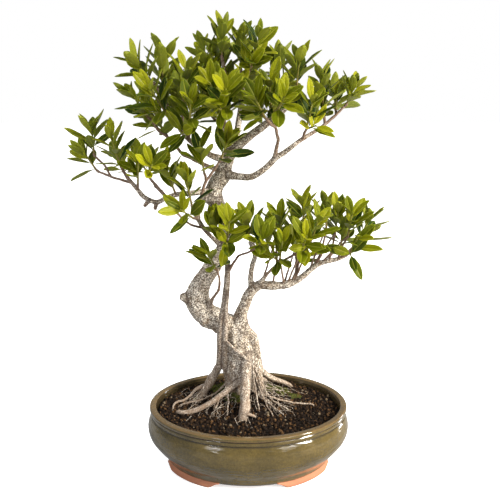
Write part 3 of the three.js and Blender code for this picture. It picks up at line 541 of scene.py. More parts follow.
def make_object(
    name: str, surface: Surface, material: bpy.types.Material
) -> bpy.types.Object:
    """Makes a piece of the bonsai from a surface.

    Args:
        name: Name of the piece.
        surface: Its points and faces.
        material: Its finish.

    Returns:
        The object, linked to the scene and riding on the one body of the part.
    """
    piece = bpy.data.objects.new(name, make_mesh(name, surface))
    piece.data.materials.append(material)
    bpy.context.scene.collection.objects.link(piece)
    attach(piece, "root")
    LOG.info("%s: %d triangles", name, 2 * len(surface.quads) + len(surface.triangles))
    return piece


class Canvas:
    """Adds nodes to one node tree and links them."""

    def __init__(self, tree: bpy.types.NodeTree) -> None:
        """Keeps the tree that the nodes go into."""
        self.tree = tree

    def add(self, kind: str, inputs: tuple | dict = (), **settings: object) -> bpy.types.Node:
        """Adds a node.

        Args:
            kind: Blender's name of the kind of node.
            inputs: What plug feeds into it.
            **settings: Its properties.

        Returns:
            The node.
        """
        node = self.tree.nodes.new(kind)
        for name, value in settings.items():
            setattr(node, name, value)
        self.plug(node, inputs)
        return node

    def plug(self, node: bpy.types.Node, inputs: tuple | dict) -> None:
        """Feeds the inputs of a node.

        Args:
            node: The node.
            inputs: Sockets or plain values, in the order of the node's inputs or by name
                or number. A colour is three numbers.
        """
        for key, value in inputs.items() if isinstance(inputs, dict) else enumerate(inputs):
            socket = node.inputs[key]
            if isinstance(value, bpy.types.NodeSocket):
                self.tree.links.new(value, socket)
            elif socket.type == "RGBA":
                socket.default_value = (*value, 1.0)
            else:
                socket.default_value = value

    def math(self, operation: str, a: object, b: object = 0.0, c: object = 0.0) -> object:
        """The result of Blender's Math node for values or sockets a, b and c."""
        return self.add("ShaderNodeMath", (a, b, c), operation=operation).outputs[0]

    def mix(self, share: object, a: object, b: object) -> object:
        """The colour a, with a share of the colour b over it."""
        return self.add("ShaderNodeMix", {0: share, 6: a, 7: b}, data_type="RGBA").outputs[2]

    def tint(self, value: object, most: object, a: object, b: object) -> object:
        """The colour a, with a share of b over it that is a value from 0 to 1 times most."""
        return self.mix(self.math("MULTIPLY", value, most), a, b)

    def range(self, value: object, low: float, high: float, start: float, end: float) -> object:
        """A value mapped from low and high to start and end, and kept between those."""
        return self.add("ShaderNodeMapRange", (value, low, high, start, end)).outputs[0]

    def noise(self, vector: object, scale: object, detail: float, rough: float) -> object:
        """Noise from 0 to 1 with scale cells in a metre, detail octaves, weighted by rough."""
        inputs = {"Vector": vector, "Scale": scale, "Detail": detail, "Roughness": rough}
        return self.add("ShaderNodeTexNoise", inputs).outputs[0]

    def ramp(self, value: object, stops: tuple[tuple[float, Triple | float], ...]) -> object:
        """Looks a value up in a row of colours.

        Args:
            value: Socket with the value, from 0 to 1.
            stops: Places and colours or greys, from the lowest place to the highest.

        Returns:
            The colour socket.
        """
        node = self.add("ShaderNodeValToRGB", (value,))
        elements = node.color_ramp.elements
        while len(elements) < len(stops):
            elements.new(1.0)
        for element, (place, colour) in zip(elements, stops):
            element.position = place
            element.color = (*np.broadcast_to(colour, 3), 1.0)
        return node.outputs[0]

    def value(self, name: str) -> object:
        """The socket of a named value that the mesh carries."""
        return self.add("ShaderNodeAttribute", attribute_name=name).outputs["Fac"]

    def place(self) -> object:
        """The socket of the Object coordinates, in metres."""
        return self.add("ShaderNodeTexCoord").outputs["Object"]

    def stretch(self, vector: object, scale: Triple) -> object:
        """Scaled coordinates, on which a pattern is longer one way."""
        return self.add("ShaderNodeMapping", {"Vector": vector, "Scale": scale}).outputs[0]

    def part(self, vector: object, axis: int) -> object:
        """The part of coordinates along an axis: 0 for X, 1 for Y, 2 for Z."""
        return self.add("ShaderNodeSeparateXYZ", (vector,)).outputs[axis]

    def bump(self, height: object, depth: float, strength: float) -> object:
        """The normal of a bump of depth metres, for a height from 0 to 1, at a strength."""
        inputs = {"Strength": strength, "Distance": depth, "Height": height}
        return self.add("ShaderNodeBump", inputs).outputs[0]

    def use(self, group: bpy.types.NodeTree, **values: object) -> object:
        """The mask that a shared effect makes of its named inputs."""
        return self.add("ShaderNodeGroup", values, node_tree=group).outputs["Mask"]


def new_group(name: str, *numbers: str) -> tuple[Canvas, object, list[object]]:
    """Starts a shader node group that makes a mask from coordinates.

    Args:
        name: Name of the group.
        *numbers: Names of its numbers.

    Returns:
        The group's canvas, the socket of its Vector and the sockets of its numbers.
    """
    group = bpy.data.node_groups.new(name, "ShaderNodeTree")
    group.interface.new_socket("Vector", in_out="INPUT", socket_type="NodeSocketVector")
    for number in numbers:
        group.interface.new_socket(number, in_out="INPUT", socket_type="NodeSocketFloat")
    group.interface.new_socket("Mask", in_out="OUTPUT", socket_type="NodeSocketFloat")
    canvas = Canvas(group)
    given = canvas.add("NodeGroupInput").outputs
    return canvas, given["Vector"], [given[number] for number in numbers]


def end_group(canvas: Canvas, mask: object) -> bpy.types.NodeTree:
    """Puts out the mask of a group, and returns the group."""
    canvas.add("NodeGroupOutput", {"Mask": mask})
    return canvas.tree


def mottle_group() -> bpy.types.NodeTree:
    """Blotches of two sizes, whose Coarse and Fine are cells in a metre.

    Returns:
        The group.
    """
    canvas, place, (coarse, fine) = new_group("mottle", "Coarse", "Fine")
    large = canvas.noise(place, coarse, 3.0, 0.55)
    small = canvas.math("MULTIPLY", canvas.noise(place, fine, 5.0, 0.7), 0.55)
    both = canvas.math("MULTIPLY_ADD", large, 0.45, small)
    return end_group(canvas, canvas.range(both, 0.38, 0.62, 0.0, 1.0))


def speck_group() -> bpy.types.NodeTree:
    """Round specks: Cells in a metre, Size as a share of a cell, Share of cells with one.

    Returns:
        The group.
    """
    canvas, place, (cells, size, share) = new_group("specks", "Cells", "Size", "Share")
    pattern = canvas.add("ShaderNodeTexVoronoi", {"Vector": place, "Scale": cells}).outputs
    near = canvas.math("LESS_THAN", pattern["Distance"], size)
    number = canvas.add("ShaderNodeSeparateColor", (pattern["Color"],)).outputs[0]
    return end_group(canvas, canvas.math("MULTIPLY", near, canvas.math("LESS_THAN", number, share)))


def stain_and_shade_group() -> bpy.types.NodeTree:
    """A dark band with a torn edge, full at the height Low and gone at High, in metres, used as a stain
    and as painted shade.

    Returns:
        The group.
    """
    canvas, place, (low, high) = new_group("stain", "Low", "High")
    shift = canvas.math("SUBTRACT", canvas.noise(place, 90.0, 4.0, 0.6), 0.5)
    level = canvas.math("MULTIPLY_ADD", shift, 0.05, canvas.part(place, 2))
    return end_group(canvas, canvas.range(level, low, high, 1.0, 0.0))


class Effects:
    """The node groups that several finishes share."""

    def __init__(self) -> None:
        """Builds each group once."""
        self.mottle = mottle_group()
        self.specks = speck_group()
        self.stain = stain_and_shade_group()


def new_material(name: str) -> tuple[bpy.types.Material, Canvas, bpy.types.Node]:
    """Starts a material.

    Args:
        name: Name of the material.

    Returns:
        The material, the canvas of its nodes and its Principled shader.
    """
    material = bpy.data.materials.new(name)
    material.use_nodes = True
    return material, Canvas(material.node_tree), material.node_tree.nodes["Principled BSDF"]


@dataclass(frozen=True)
class Draws:
    """The constants of the small random rule that the part's source grows its leaves by."""

    spread: int = 2654435761
    factor: int = 1664525
    step: int = 1013904223
    range: int = 2**32

    def rows(self, seed: int, count: int) -> list[float]:
        """Draws numbers from 0 to 1.

        Each state is the one before times factor plus step, modulo range.

        Args:
            seed: Seed of the row.
            count: How many numbers are drawn.

        Returns:
            The numbers in order.
        """
        state = (seed * self.spread) % self.range
        numbers = []
        for _ in range(count):
            state = (state * self.factor + self.step) % self.range
            numbers.append(state / self.range)
        return numbers


@dataclass
class Spray:
    """One green shoot at the end of its branchlet."""

    name: str
    seed: int
    leaves: int
    foot: Array
    end: Array
    branchlet: Array

    @property
    def along(self) -> Array:
        """The direction in which the shoot grows."""
        return unit(self.end - self.foot)

    def outward(self, angle: Array) -> Array:
        """The directions square to the shoot at angles round it, from the one nearest to Y."""
        across = unit(np.array([0.0, 1.0, 0.0]) - self.along * self.along[1])
        return np.column_stack([np.cos(angle), np.sin(angle)]) @ [across, np.cross(self.along, across)]


# Length of branchlet for each short shoot on it.
SIDE_GAPS = {Crown.TOP: 24.0, Crown.MIDDLE: 60.0, Crown.LEFT: 70.0, Crown.RIGHT: 30.0}


@dataclass
class Growth:
    """Where the branchlets and the shoots go, by the same rule as the part's source."""

    turn_up: float = 0.65
    shoot_length: float = 40.0
    shoot_clear: float = 4.0
    gap: float = 0.3
    shoot_radii: Pair = (1.9, 1.3)
    branchlet_radius: float = 2.3
    side_length: Pair = (13.0, 24.0)
    side_most: int = 4
    side_leaves: int = 6
    side_seed: int = 500

    def lay_out(self, name: str, seed: int, row: tuple) -> Spray:
        """Lays out one spray.

        The branchlet is the quadratic Bezier curve from its limb to the tip. The shoot is
        the straight last part of it.

        Args:
            name: Name of the spray.
            seed: Number of the spray, from 1.
            row: Its limb, the point of the limb it starts at, its tip and its leaves.

        Returns:
            The spray.
        """
        limb, at, tip, leaves = row
        start, radius = np.array(ROUTES[limb][at][:3], float), ROUTES[limb][at][3]
        end = np.array(tip, float)
        share = np.array([self.turn_up, self.turn_up, 1.0 - self.turn_up])
        bend = start + share * (end - start)
        corners = [start, bend, end]
        spans = [np.linalg.norm(b - a) for a, b in zip(corners, [*corners[1:], start])]
        length = (2 * spans[2] + spans[0] + spans[1]) / 3
        shoot = min(self.shoot_length, length - radius - self.shoot_clear) / length
        t = (np.array([0.0, 0.25, 0.5, 0.75, 1.0]) * (1 - shoot))[:, None]
        curve = start * (1 - t) ** 2 + bend * 2 * t * (1 - t) + end * t**2
        foot = curve[-1].copy()
        curve[-1] -= unit(end - foot) * self.gap
        return Spray(name, seed, leaves, foot, end, curve)

    def side_shoots(self, spray: Spray) -> list[Spray]:
        """Lays out the short shoots that stand along a branchlet and fill the crown.

        Each starts at a seeded share of the branchlet. Its direction is that of the
        branchlet plus a seeded direction square to it, raised a little.

        Args:
            spray: The spray at the end of the branchlet.

        Returns:
            The short shoots.
        """
        draws = np.random.default_rng(self.side_seed + spray.seed)
        spans = np.linalg.norm(np.diff(spray.branchlet, axis=0), axis=1)
        count = min(round(spans.sum() / SIDE_GAPS[Crown(spray.name[:-3])]), self.side_most)
        shoots = []
        for number in range(count):
            share = (number + draws.uniform(0.5, 1.0)) / count * (len(spans) - 0.05)
            at = min(int(share), len(spans) - 1)
            way = unit(spray.branchlet[at + 1] - spray.branchlet[at])
            foot = spray.branchlet[at] + way * spans[at] * min(share - at, 0.95)
            turn = draws.normal(size=3)
            turn = unit(turn - way * (turn @ way))
            rise = np.array([0.0, 0.0, 0.35])
            end = foot + unit(way * 0.6 + turn * 0.8 + rise) * draws.uniform(*self.side_length)
            seed = 100 + spray.seed * 5 + number
            bare = spray.branchlet[:0]
            shoots.append(Spray(spray.name, seed, self.side_leaves, foot, end, bare))
        return shoots

    def all(self) -> list[Spray]:
        """Lays out every spray of the crown.

        Returns:
            The sprays in the order of the table.
        """
        rows = [
            (f"{part.value}_{number:02d}", row)
            for part, group in SPRAYS.items()
            for number, row in enumerate(group, start=1)
        ]
        return [self.lay_out(name, seed, row) for seed, (name, row) in enumerate(rows, start=1)]


def capsules(points: Array, ends: Array) -> tuple[Array, Array]:
    """Distances from points to straight pieces of wood that taper.

    The share along a piece is the dot product with it over its squared length, kept from
    0 to 1. The distance is that to the point at this share, less the radius there.

    Args:
        points: The points, (n, 3).
        ends: Pieces as rows of start x, y, z, radius and end x, y, z, radius.

    Returns:
        Distances and shares, both (n, pieces).
    """
    start, way = ends[:, :3], ends[:, 4:7] - ends[:, :3]
    square = np.maximum((way**2).sum(axis=1), 1e-9)
    offset = points @ way.T - (start * way).sum(axis=1)
    share = np.clip(offset / square, 0.0, 1.0)
    squared = (points**2).sum(axis=1)[:, None] - 2.0 * points @ start.T + (start**2).sum(axis=1)
    squared += share**2 * square - 2.0 * share * offset
    radius = ends[:, 3] + (ends[:, 7] - ends[:, 3]) * share
    return np.sqrt(np.maximum(squared, 0.0)) - radius, share


def pieces_of(path: Array) -> Array:
    """Joins each row of x, y, z, radius to the next one."""
    return np.concatenate([path[:-1], path[1:]], axis=1)


@dataclass
class LimbSpace:
    """Distances to the limbs of the tree, blended where two of them meet."""

    limbs: list[Array]
    shades: list[float]
    fillet: float = 0.42

    def __post_init__(self) -> None:
        """Lists the straight pieces of all limbs and the limb that each belongs to."""
        self.ends = np.concatenate([pieces_of(limb) for limb in self.limbs])
        sizes = [len(limb) - 1 for limb in self.limbs]
        self.owner = np.repeat(np.arange(len(self.limbs)), sizes)
        self.marks = np.concatenate([np.arange(size, dtype=float) for size in sizes])

    def look(self, points: Array) -> dict[str, Array]:
        """Looks up the nearest two limbs of each point.

        With distances a and b to them and k the fillet times their mean radius, the blended
        distance is the smaller one less k h h / 4, where h is 1 - |a - b| / k, at least 0.

        Args:
            points: The points, (n, 3).

        Returns:
            Arrays distance, normal, girth, mark, shade and crease, one row for each point.
        """
        parts = [self.look_few(chunk) for chunk in np.array_split(points, len(points) // 4096 + 1)]
        return {name: np.concatenate([part[name] for part in parts]) for name in parts[0]}

    def look_few(self, points: Array) -> dict[str, Array]:
        """Does the work of look on few enough points for the memory.

        Args:
            points: Some thousand points.

        Returns:
            The same arrays as look.
        """
        distance, share = capsules(points, self.ends)
        rows = np.arange(len(points))
        first = distance.argmin(axis=1)
        near = distance[rows, first]
        other = np.where(self.owner[None, :] == self.owner[first][:, None], np.inf, distance)
        second = other.argmin(axis=1)
        far = other[rows, second]
        girth, normal = self.foot(points, first, share[rows, first])
        girth_b, normal_b = self.foot(points, second, share[rows, second])
        reach = self.fillet * np.minimum(girth, girth_b) + 0.4
        blend = np.clip(1.0 - (far - near) / reach, 0.0, 1.0)
        mixed = unit(normal + (normal_b - normal) * (blend / 2.0)[:, None])
        return {
            "distance": near - reach * blend**2 / 4.0,
            "normal": mixed,
            "girth": girth,
            "mark": self.marks[first] + share[rows, first],
            "shade": np.array(self.shades)[self.owner[first]],
            # Crease is near 1 where two limbs meet; the bark paints shade there.
            "crease": np.exp(-np.maximum(far - near, 0.0) / 1.3),
        }

    def foot(self, points: Array, index: Array, share: Array) -> tuple[Array, Array]:
        """Looks from points at the axes of the pieces that they belong to.

        Args:
            points: The points.
            index: The piece of each point.
            share: The share of the piece that is nearest to the point.

        Returns:
            The radii there, and the directions from the axis to the point.
        """
        ends = self.ends[index]
        at = ends[:, :4] + (ends[:, 4:] - ends[:, :4]) * share[:, None]
        away = points - at[:, :3]
        return at[:, 3], away / np.maximum(np.linalg.norm(away, axis=1, keepdims=True), 1e-6)


def remesh(surface: Surface, voxel: float) -> Surface:
    """Merges crossing closed surfaces into one skin of even quads.

    Args:
        surface: The crossing surfaces.
        voxel: Size of a quad.

    Returns:
        The outer skin.
    """
    rough = bpy.data.objects.new("rough_wood", make_mesh("rough_wood", surface))
    bpy.context.scene.collection.objects.link(rough)
    modifier = rough.modifiers.new("merge", "REMESH")
    modifier.mode = "VOXEL"
    modifier.voxel_size = voxel * MM
    graph = bpy.context.evaluated_depsgraph_get()
    merged = rough.evaluated_get(graph).to_mesh()
    points = np.empty(len(merged.vertices) * 3, dtype=np.float32)
    merged.vertices.foreach_get("co", points)
    quads = np.empty(len(merged.loops), dtype=np.int32)
    merged.loops.foreach_get("vertex_index", quads)
    result = Surface(
        points=(points.reshape(-1, 3).astype(float) - CENTRE) / MM,
        quads=quads.reshape(-1, 4),
        triangles=np.empty((0, 3), dtype=int),
    )
    mesh = rough.data
    bpy.data.objects.remove(rough)
    bpy.data.meshes.remove(mesh)
    return result


def relax(surface: Surface, rounds: int) -> None:
    """Moves each point of a surface halfway to the mean of its neighbours, some times over.

    Args:
        surface: A surface of quads, changed in place.
        rounds: How often the points are moved.
    """
    a = surface.quads.ravel()
    b = np.roll(surface.quads, -1, axis=1).ravel()
    count = np.bincount(a)[:, None]
    for _ in range(rounds):
        total = [np.bincount(a, surface.points[b, axis]) for axis in range(3)]
        surface.points = (surface.points + np.stack(total, axis=1) / count) / 2.0


@dataclass
class Tree:
    """Trunk, limbs, roots, branches and branchlets, which grew as one piece."""

    voxel: float = 1.47
    thick: float = 3.0
    thick_step: float = 6.0
    thin_step: float = 3.0
    fine_share: float = 0.72
    knot_gap: float = 14.0
    knot_rise: float = 0.12
    lump_height: float = 0.75
    grain_height: float = 0.28
    flute_height: float = 1.1
    ring_height: float = 0.22
    ring_gap: float = 7.0
    root_girth: Pair = (0.28, 0.66)
    root_seed: int = 41
    twig_seed: int = 67

    def build(self, sprays: list[Spray], finish: "Bark") -> list[bpy.types.Object]:
        """Builds the wood and its fine roots.

        Args:
            sprays: The sprays, for their branchlets.
            finish: The bark.

        Returns:
            The three pieces.
        """
        limbs = {name: np.array(route, float) for name, route in ROUTES.items()}
        for name in FINE:
            limbs[name][:, 3] *= self.fine_share
        thick = {
            name: smooth_route(limb[: self.thick_points(limb)], self.thick_step)
            for name, limb in limbs.items()
            if self.thick_points(limb) > 1
        }
        body = self.merge(thick)
        thin = [self.twig(name, limb) for name, limb in limbs.items()]
        shoots = [self.branchlet(spray) for spray in sprays]
        wood = join([body, *[part for part in thin if part is not None], *shoots])
        material = finish.build()
        piece = make_object("tree_wood", wood, material)
        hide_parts("tree")
        roots = make_object("fine_roots", self.fine_roots(), material)
        return [piece, roots, make_object("fine_twigs", self.fine_twigs(sprays), material)]

    def thick_points(self, limb: Array) -> int:
        """How many points from the start of a limb are thick, with one more to join on."""
        thin = np.nonzero(limb[:, 3] < self.thick)[0]
        return min(len(limb), thin[0] + 1) if len(thin) else len(limb)

    def merge(self, limbs: dict[str, Array]) -> Surface:
        """Merges the thick limbs with fillets, and raises the relief of the bark.

        The relief is moved along the normal: lumps, flutes that run up the trunk below the
        knee, and rings round the limbs above it.

        Args:
            limbs: The smoothed limbs by name.

        Returns:
            The surface with its values.
        """
        tubes = [tube(limb[:, :3], limb[:, 3], 20) for limb in limbs.values()]
        body = remesh(join(tubes), self.voxel)
        relax(body, 4)
        space = LimbSpace(list(limbs.values()), [SHADES.get(name, 0.0) for name in limbs])
        for _ in range(4):
            seen = space.look(body.points)
            body.points -= seen["normal"] * seen["distance"][:, None]
        relax(body, 1)
        seen = space.look(body.points)
        points, girth = body.points, seen["girth"]
        scale = smoothstep(1.5, 12.0, girth)
        low = smoothstep(285.0, 225.0, points[:, 2])
        lumps = wave_noise(points, (26.0, 26.0, 32.0), 3) * self.lump_height
        fine = wave_noise(points, (9.0, 9.0, 10.0), 5) * self.grain_height
        flutes = wave_noise(points, (13.0, 13.0, 95.0), 7) * self.flute_height * low
        along = seen["mark"] * self.thick_step
        drift = wave_noise(points, (40.0, 40.0, 40.0), 9) * 1.6
        rings = np.cos(along * TURN / self.ring_gap + drift * 1.6)
        rings = rings * self.ring_height * (1.0 - low)
        relief = (lumps + fine + flutes + rings) * scale
        body.points = points + seen["normal"] * relief[:, None]
        # The crease value, of the joins and of the grooves of the relief, sets painted shade in the
        # bark.
        grooves = smoothstep(0.1, -1.6, flutes + fine) * 0.45 * scale
        return body.fill(
            girth=girth,
            along=along,
            shade=seen["shade"],
            crease=np.clip(seen["crease"] * 0.9 + grooves, 0.0, 1.0),
            youth=self.youth(girth, points[:, 2]),
        )

    def youth(self, girth: Array, height: Array) -> Array:
        """How young the wood is: 1 where it is thin and high in the crown."""
        return smoothstep(4.2, 2.0, girth) * smoothstep(200.0, 290.0, height)

    def twig(self, name: str, limb: Array) -> Surface | None:
        """Makes the thin part of a limb as a tube that swells at each knot.

        Args:
            name: Name of the limb.
            limb: Points of the whole limb.

        Returns:
            The tube, or None if the limb has no thin part.
        """
        start = max(self.thick_points(limb) - 2, 0)
        if len(limb) - start < 2 or limb[-1, 3] >= self.thick:
            return None
        path = smooth_route(limb[start:], self.thin_step)
        return self.knotted(path, SHADES.get(name, 0.0))

    def branchlet(self, spray: Spray) -> Surface:
        """Makes the branchlet that carries a spray.

        Args:
            spray: The spray.

        Returns:
            The thin tube with its knots.
        """
        ends = (Growth.branchlet_radius, Growth.shoot_radii[0])
        route = np.column_stack([spray.branchlet, np.linspace(*ends, len(spray.branchlet))])
        return self.knotted(smooth_route(route, self.thin_step), 0.0)

    def knotted(self, path: Array, shade: float) -> Surface:
        """Makes a thin tube with knots.

        The radius is multiplied by 1 plus knot_rise times the eighth power of the cosine of
        half a turn for each knot_gap.

        Args:
            path: Its points as rows of x, y, z and radius.
            shade: How dark its bark is.

        Returns:
            The tube.
        """
        along = np.arange(len(path)) * self.thin_step
        knots = np.cos(along * math.pi / self.knot_gap + path[0, 0]) ** 8
        ends = np.sin(np.linspace(0.0, math.pi, len(path)))[:, None]
        points = path[:, :3] + wander(path[:, :3], 17.0, 20) * ends * 0.5
        radii = path[:, 3] * (0.97 + self.knot_rise * knots)
        return tube(points, radii, 8).fill(
            girth=spread(path[:, 3], 8),
            along=spread(along, 8),
            shade=shade,
            crease=0.0,
            youth=spread(self.youth(path[:, 3], path[:, 2]), 8),
        )

    def fine_twigs(self, sprays: list[Spray]) -> Surface:
        """Makes the thin twigs that rise from the right limb to the foot of its sprays.

        Each starts at the point of the limb nearest to a seeded spot below the spray.

        Args:
            sprays: The sprays.

        Returns:
            All fine twigs as one surface.
        """
        draws = np.random.default_rng(self.twig_seed)
        limb = smooth_route(np.array(ROUTES["right_limb"][5:], float), self.thick_step)
        surfaces = []
        for spray in sprays:
            drop = np.array([draws.uniform(-34.0, 14.0), 0.0, -60.0])
            gaps = np.linalg.norm(limb[:, :3] - spray.foot - drop, axis=1)
            first = limb[gaps.argmin(), :3]
            if Crown(spray.name[:-3]) is not Crown.RIGHT or spray.foot[0] < limb[0, 0]:
                continue
            t = np.linspace(0.0, 1.0, 30)[:, None]
            path = first + (spray.foot - first) * t
            path[:, 2:] += (spray.foot[2] - first[2]) * 0.25 * (t**0.7 - t)
            surfaces.append(self.knotted(np.column_stack([path, 1.8 - 0.6 * t]), 0.4))
        return join(surfaces)

    def fine_roots(self) -> Surface:
        """Makes the fine roots that fan out from the old ones over the soil.

        Each is a path from its old root to the soil that wavers by smooth noise.

        Returns:
            All fine roots as one surface.
        """
        draws = np.random.default_rng(self.root_seed)
        surfaces: list[Surface] = []
        for fan in ROOT_FANS:
            start = np.array(fan.start)
            for number in range(fan.count):
                side = draws.uniform(-0.5, 0.5)
                reach = fan.reach * draws.uniform(0.45, 1.0)
                angle = math.radians(fan.angle + side * fan.spread)
                first = start + draws.normal(size=3) * fan.scatter * 1.4
                last = first + reach * np.array([math.cos(angle), math.sin(angle), 0.0])
                last[2] = soil_height(last[0], last[1]) - 1.0
                t = np.linspace(0.0, 1.0, 14)[:, None]
                path = first + (last - first) * t
                path[:, 2:] -= (first[2] - last[2]) * (t**0.6 - t) * 0.8
                sway = wander(path, 24.0, 100 + len(surfaces) * 3)
                path += sway * np.sin(t * math.pi) * draws.uniform(3.0, 9.0)
                thick = draws.uniform(*self.root_girth)
                root = tube(path, thick * (1.0 - 0.45 * t[:, 0]), 6)
                root.fill(girth=thick, along=0.0, shade=draws.uniform(0.0, 0.35), youth=0.0)
                # Painted shade where a fine root leaves its old root, through the crease value.
                root.fill(crease=spread(0.5 * (1.0 - t[:, 0]) ** 2, 6))
                surfaces.append(root)
        return join(surfaces)


# Roots that are thinner here than in the part's source, where they carry load.
FINE = (
    *("right_root_a", "right_root_b", "right_root_c", "right_root_d", "strand_a", "strand_b"),
    *("left_rootlet_a", "left_rootlet_b", "left_root_mid"),
)

# How much darker and browner than the trunk a limb is.
SHADES: dict[str, float] = {
    "stem_left_strand": 0.5,
    "stem_right_strand": 0.5,
    "stem_top": 0.6,
    "stem_side": 0.6,
    "cross_twig_low": 0.5,
    "front_root": 0.35,
    "front_root_toe": 0.35,
    "long_left_root": 0.3,
    "diagonal_root": 0.45,
    "left_root_back": 0.4,
    "left_root_mid": 0.5,
    "right_root_c": 0.4,
    "strand_a": 0.4,
    "strand_b": 0.5,
    "sucker": 0.5,
    "shoulder_branch": 0.3,
}


@dataclass(frozen=True)
class Fan:
    """A fan of fine roots: where it starts, which way it goes and how many roots it has."""

    start: Triple
    angle: float
    spread: float
    reach: float
    count: int
    scatter: float = 3.0


ROOT_FANS: tuple[Fan, ...] = (
    Fan((14, 0, 126), -25, 150, 84, 11, 5.0),
    Fan((22, 8, 116), -8, 90, 78, 8, 4.0),
    Fan((12, 2, 145), -55, 80, 62, 3, 4.0),
    Fan((24, 26, 120), 20, 90, 66, 7, 4.0),
    Fan((44, 30, 107), -20, 150, 50, 8, 7.0),
    Fan((-34, -10, 120), -135, 110, 56, 7, 5.0),
    Fan((-58, -18, 108), -120, 120, 40, 7, 4.0),
    Fan((-88, -24, 98), -140, 150, 30, 6, 3.0),
    Fan((-70, 26, 106), 195, 120, 62, 18, 6.0),
    Fan((-6, -40, 103), -95, 150, 34, 6, 3.0),
    Fan((-20, 0, 128), -120, 90, 60, 4, 4.0),
    Fan((4, 0, 118), -90, 170, 46, 7, 5.0),
)


@dataclass(frozen=True)
class Mound:
    """The line of the soil and the rise of it round the trunk."""

    line: float = 88.0
    rise: float = 27.0
    centre: Pair = (-5.0, 22.0)
    spread: Pair = (46.0, 42.0)


MOUND = Mound()


def soil_height(x: Array, y: Array) -> Array:
    """Height of the soil: the line plus a bell over the mound.

    Args:
        x: Place from left to right.
        y: Place from front to back.

    Returns:
        The height at each place.
    """
    across = ((x - MOUND.centre[0]) / MOUND.spread[0]) ** 2
    deep = ((y - MOUND.centre[1]) / MOUND.spread[1]) ** 2
    return MOUND.line + MOUND.rise * np.exp(-(across + deep) / 2.0)


@dataclass(frozen=True)
class Bark:
    """Pale bark, dark specks, painted shade in folds and low down, darker on roots, red-brown on twigs.
    """

    effects: Effects
    brown: Triple = (0.3, 0.215, 0.145)
    middle: Triple = (0.55, 0.475, 0.38)
    light: Triple = (0.84, 0.77, 0.67)
    dark: Triple = (0.07, 0.045, 0.03)
    speck: Triple = (0.14, 0.095, 0.065)
    # Colour of the painted shade in joins, grooves and folds and at the foot of the trunk.
    fold: Triple = (0.075, 0.05, 0.035)
    soiled: Triple = (0.27, 0.185, 0.125)
    shaded: Triple = (0.16, 0.115, 0.09)
    twig: Triple = (0.16, 0.09, 0.055)

    def build(self) -> bpy.types.Material:
        """Builds the material.

        Returns:
            The material.
        """
        material, canvas, shader = new_material("bark")
        place, effects = canvas.place(), self.effects
        girth = canvas.value("girth")
        mottle = canvas.use(effects.mottle, Vector=place, Coarse=90.0, Fine=430.0)
        colour = canvas.ramp(mottle, ((0.1, self.brown), (0.35, self.middle), (0.65, self.light)))
        pepper = canvas.noise(place, 540.0, 0.5, 0.5)
        colour = canvas.mix(canvas.range(pepper, 0.5, 0.54, 0.0, 0.9), colour, self.dark)
        along = canvas.math("MULTIPLY", canvas.value("along"), 0.0021)
        wound = (along, canvas.part(place, 0), canvas.part(place, 1))
        wound = canvas.add("ShaderNodeCombineXYZ", wound).outputs[0]
        ring = canvas.noise(wound, 330.0, 1.0, 0.5)
        slim = canvas.range(girth, 12.0, 24.0, 0.6, 0.15)
        colour = canvas.tint(canvas.range(ring, 0.5, 0.57, 0.0, 1.0), slim, colour, self.dark)
        pores = canvas.use(effects.specks, Vector=place, Cells=230.0, Size=0.3, Share=0.5)
        colour = canvas.tint(pores, 0.7, colour, self.speck)
        colour = canvas.tint(canvas.value("shade"), 0.8, colour, self.shaded)
        # Painted shade on the thick trunk just above the soil, where the hollow between the roots lies
        # in shadow.
        painted_foot_shade = canvas.use(effects.stain, Vector=place, Low=0.105, High=0.15)
        wide = canvas.range(girth, 12.0, 18.0, 0.0, 0.9)
        colour = canvas.tint(painted_foot_shade, wide, colour, self.fold)
        root = canvas.use(effects.stain, Vector=place, Low=0.095, High=0.165)
        stout = canvas.range(girth, 0.6, 2.0, 0.2, 0.62)
        colour = canvas.tint(root, stout, colour, self.soiled)
        colour = canvas.tint(canvas.value("youth"), 0.85, colour, self.twig)
        # Painted shade in the joins of limbs, the grooves of the relief and the starts of fine roots.
        fold = canvas.range(canvas.value("crease"), 0.12, 0.85, 0.0, 0.9)
        height = canvas.math("MULTIPLY_ADD", ring, 0.5, mottle)
        dressing = {
            "Base Color": canvas.mix(fold, colour, self.fold),
            "Roughness": canvas.range(mottle, 0.0, 1.0, 0.8, 0.55),
            "Normal": canvas.bump(height, 0.0006, 0.55),
        }
        canvas.plug(shader, dressing)
        return material


@dataclass
class Blades:
    """The leaves of a spray as rows: where each starts, its axes and its size."""

    base: Array
    direction: Array
    facing: Array
    length: Array
    width: Array
    age: Array

    @property
    def aside(self) -> Array:
        """The direction across each blade."""
        return np.cross(self.direction, self.facing)

    def pick(self, rows: Array) -> "Blades":
        """The leaves of some rows."""
        return Blades(*[getattr(self, name)[rows] for name in self.__dataclass_fields__])

    def probes(self) -> Array:
        """Points on each blade at which its room is measured.

        Returns:
            The points, (n, 16, 3).
        """
        shares = np.array([0.25, 0.38, 0.55, 0.72, 0.86])
        reach = np.array([0.6, 0.9, 0.9, 0.86, 0.43])
        share = np.append(np.repeat(shares, 3), 1.0)
        across = np.append((reach[:, None] * np.array([-1.0, 0.0, 1.0])).ravel(), 0.0)
        return blade_points(self, share, across, -0.13 * share**2)


def blade_points(blades: Blades, share: Array, across: Array, lift: Array) -> Array:
    """Points of blades: base, plus length times share along, plus the sideways and the lift.

    Args:
        blades: The leaves.
        share: Shares of the length, one for each point.
        across: Shares of half the width.
        lift: Lift as a share of the length.

    Returns:
        The points, (n, points, 3).
    """
    length = blades.length[:, None, None]
    half = blades.width[:, None, None] / 2.0
    return (
        blades.base[:, None]
        + blades.direction[:, None] * length * share[..., None]
        + blades.aside[:, None] * half * across[..., None]
        + blades.facing[:, None] * length * lift[..., None]
    )


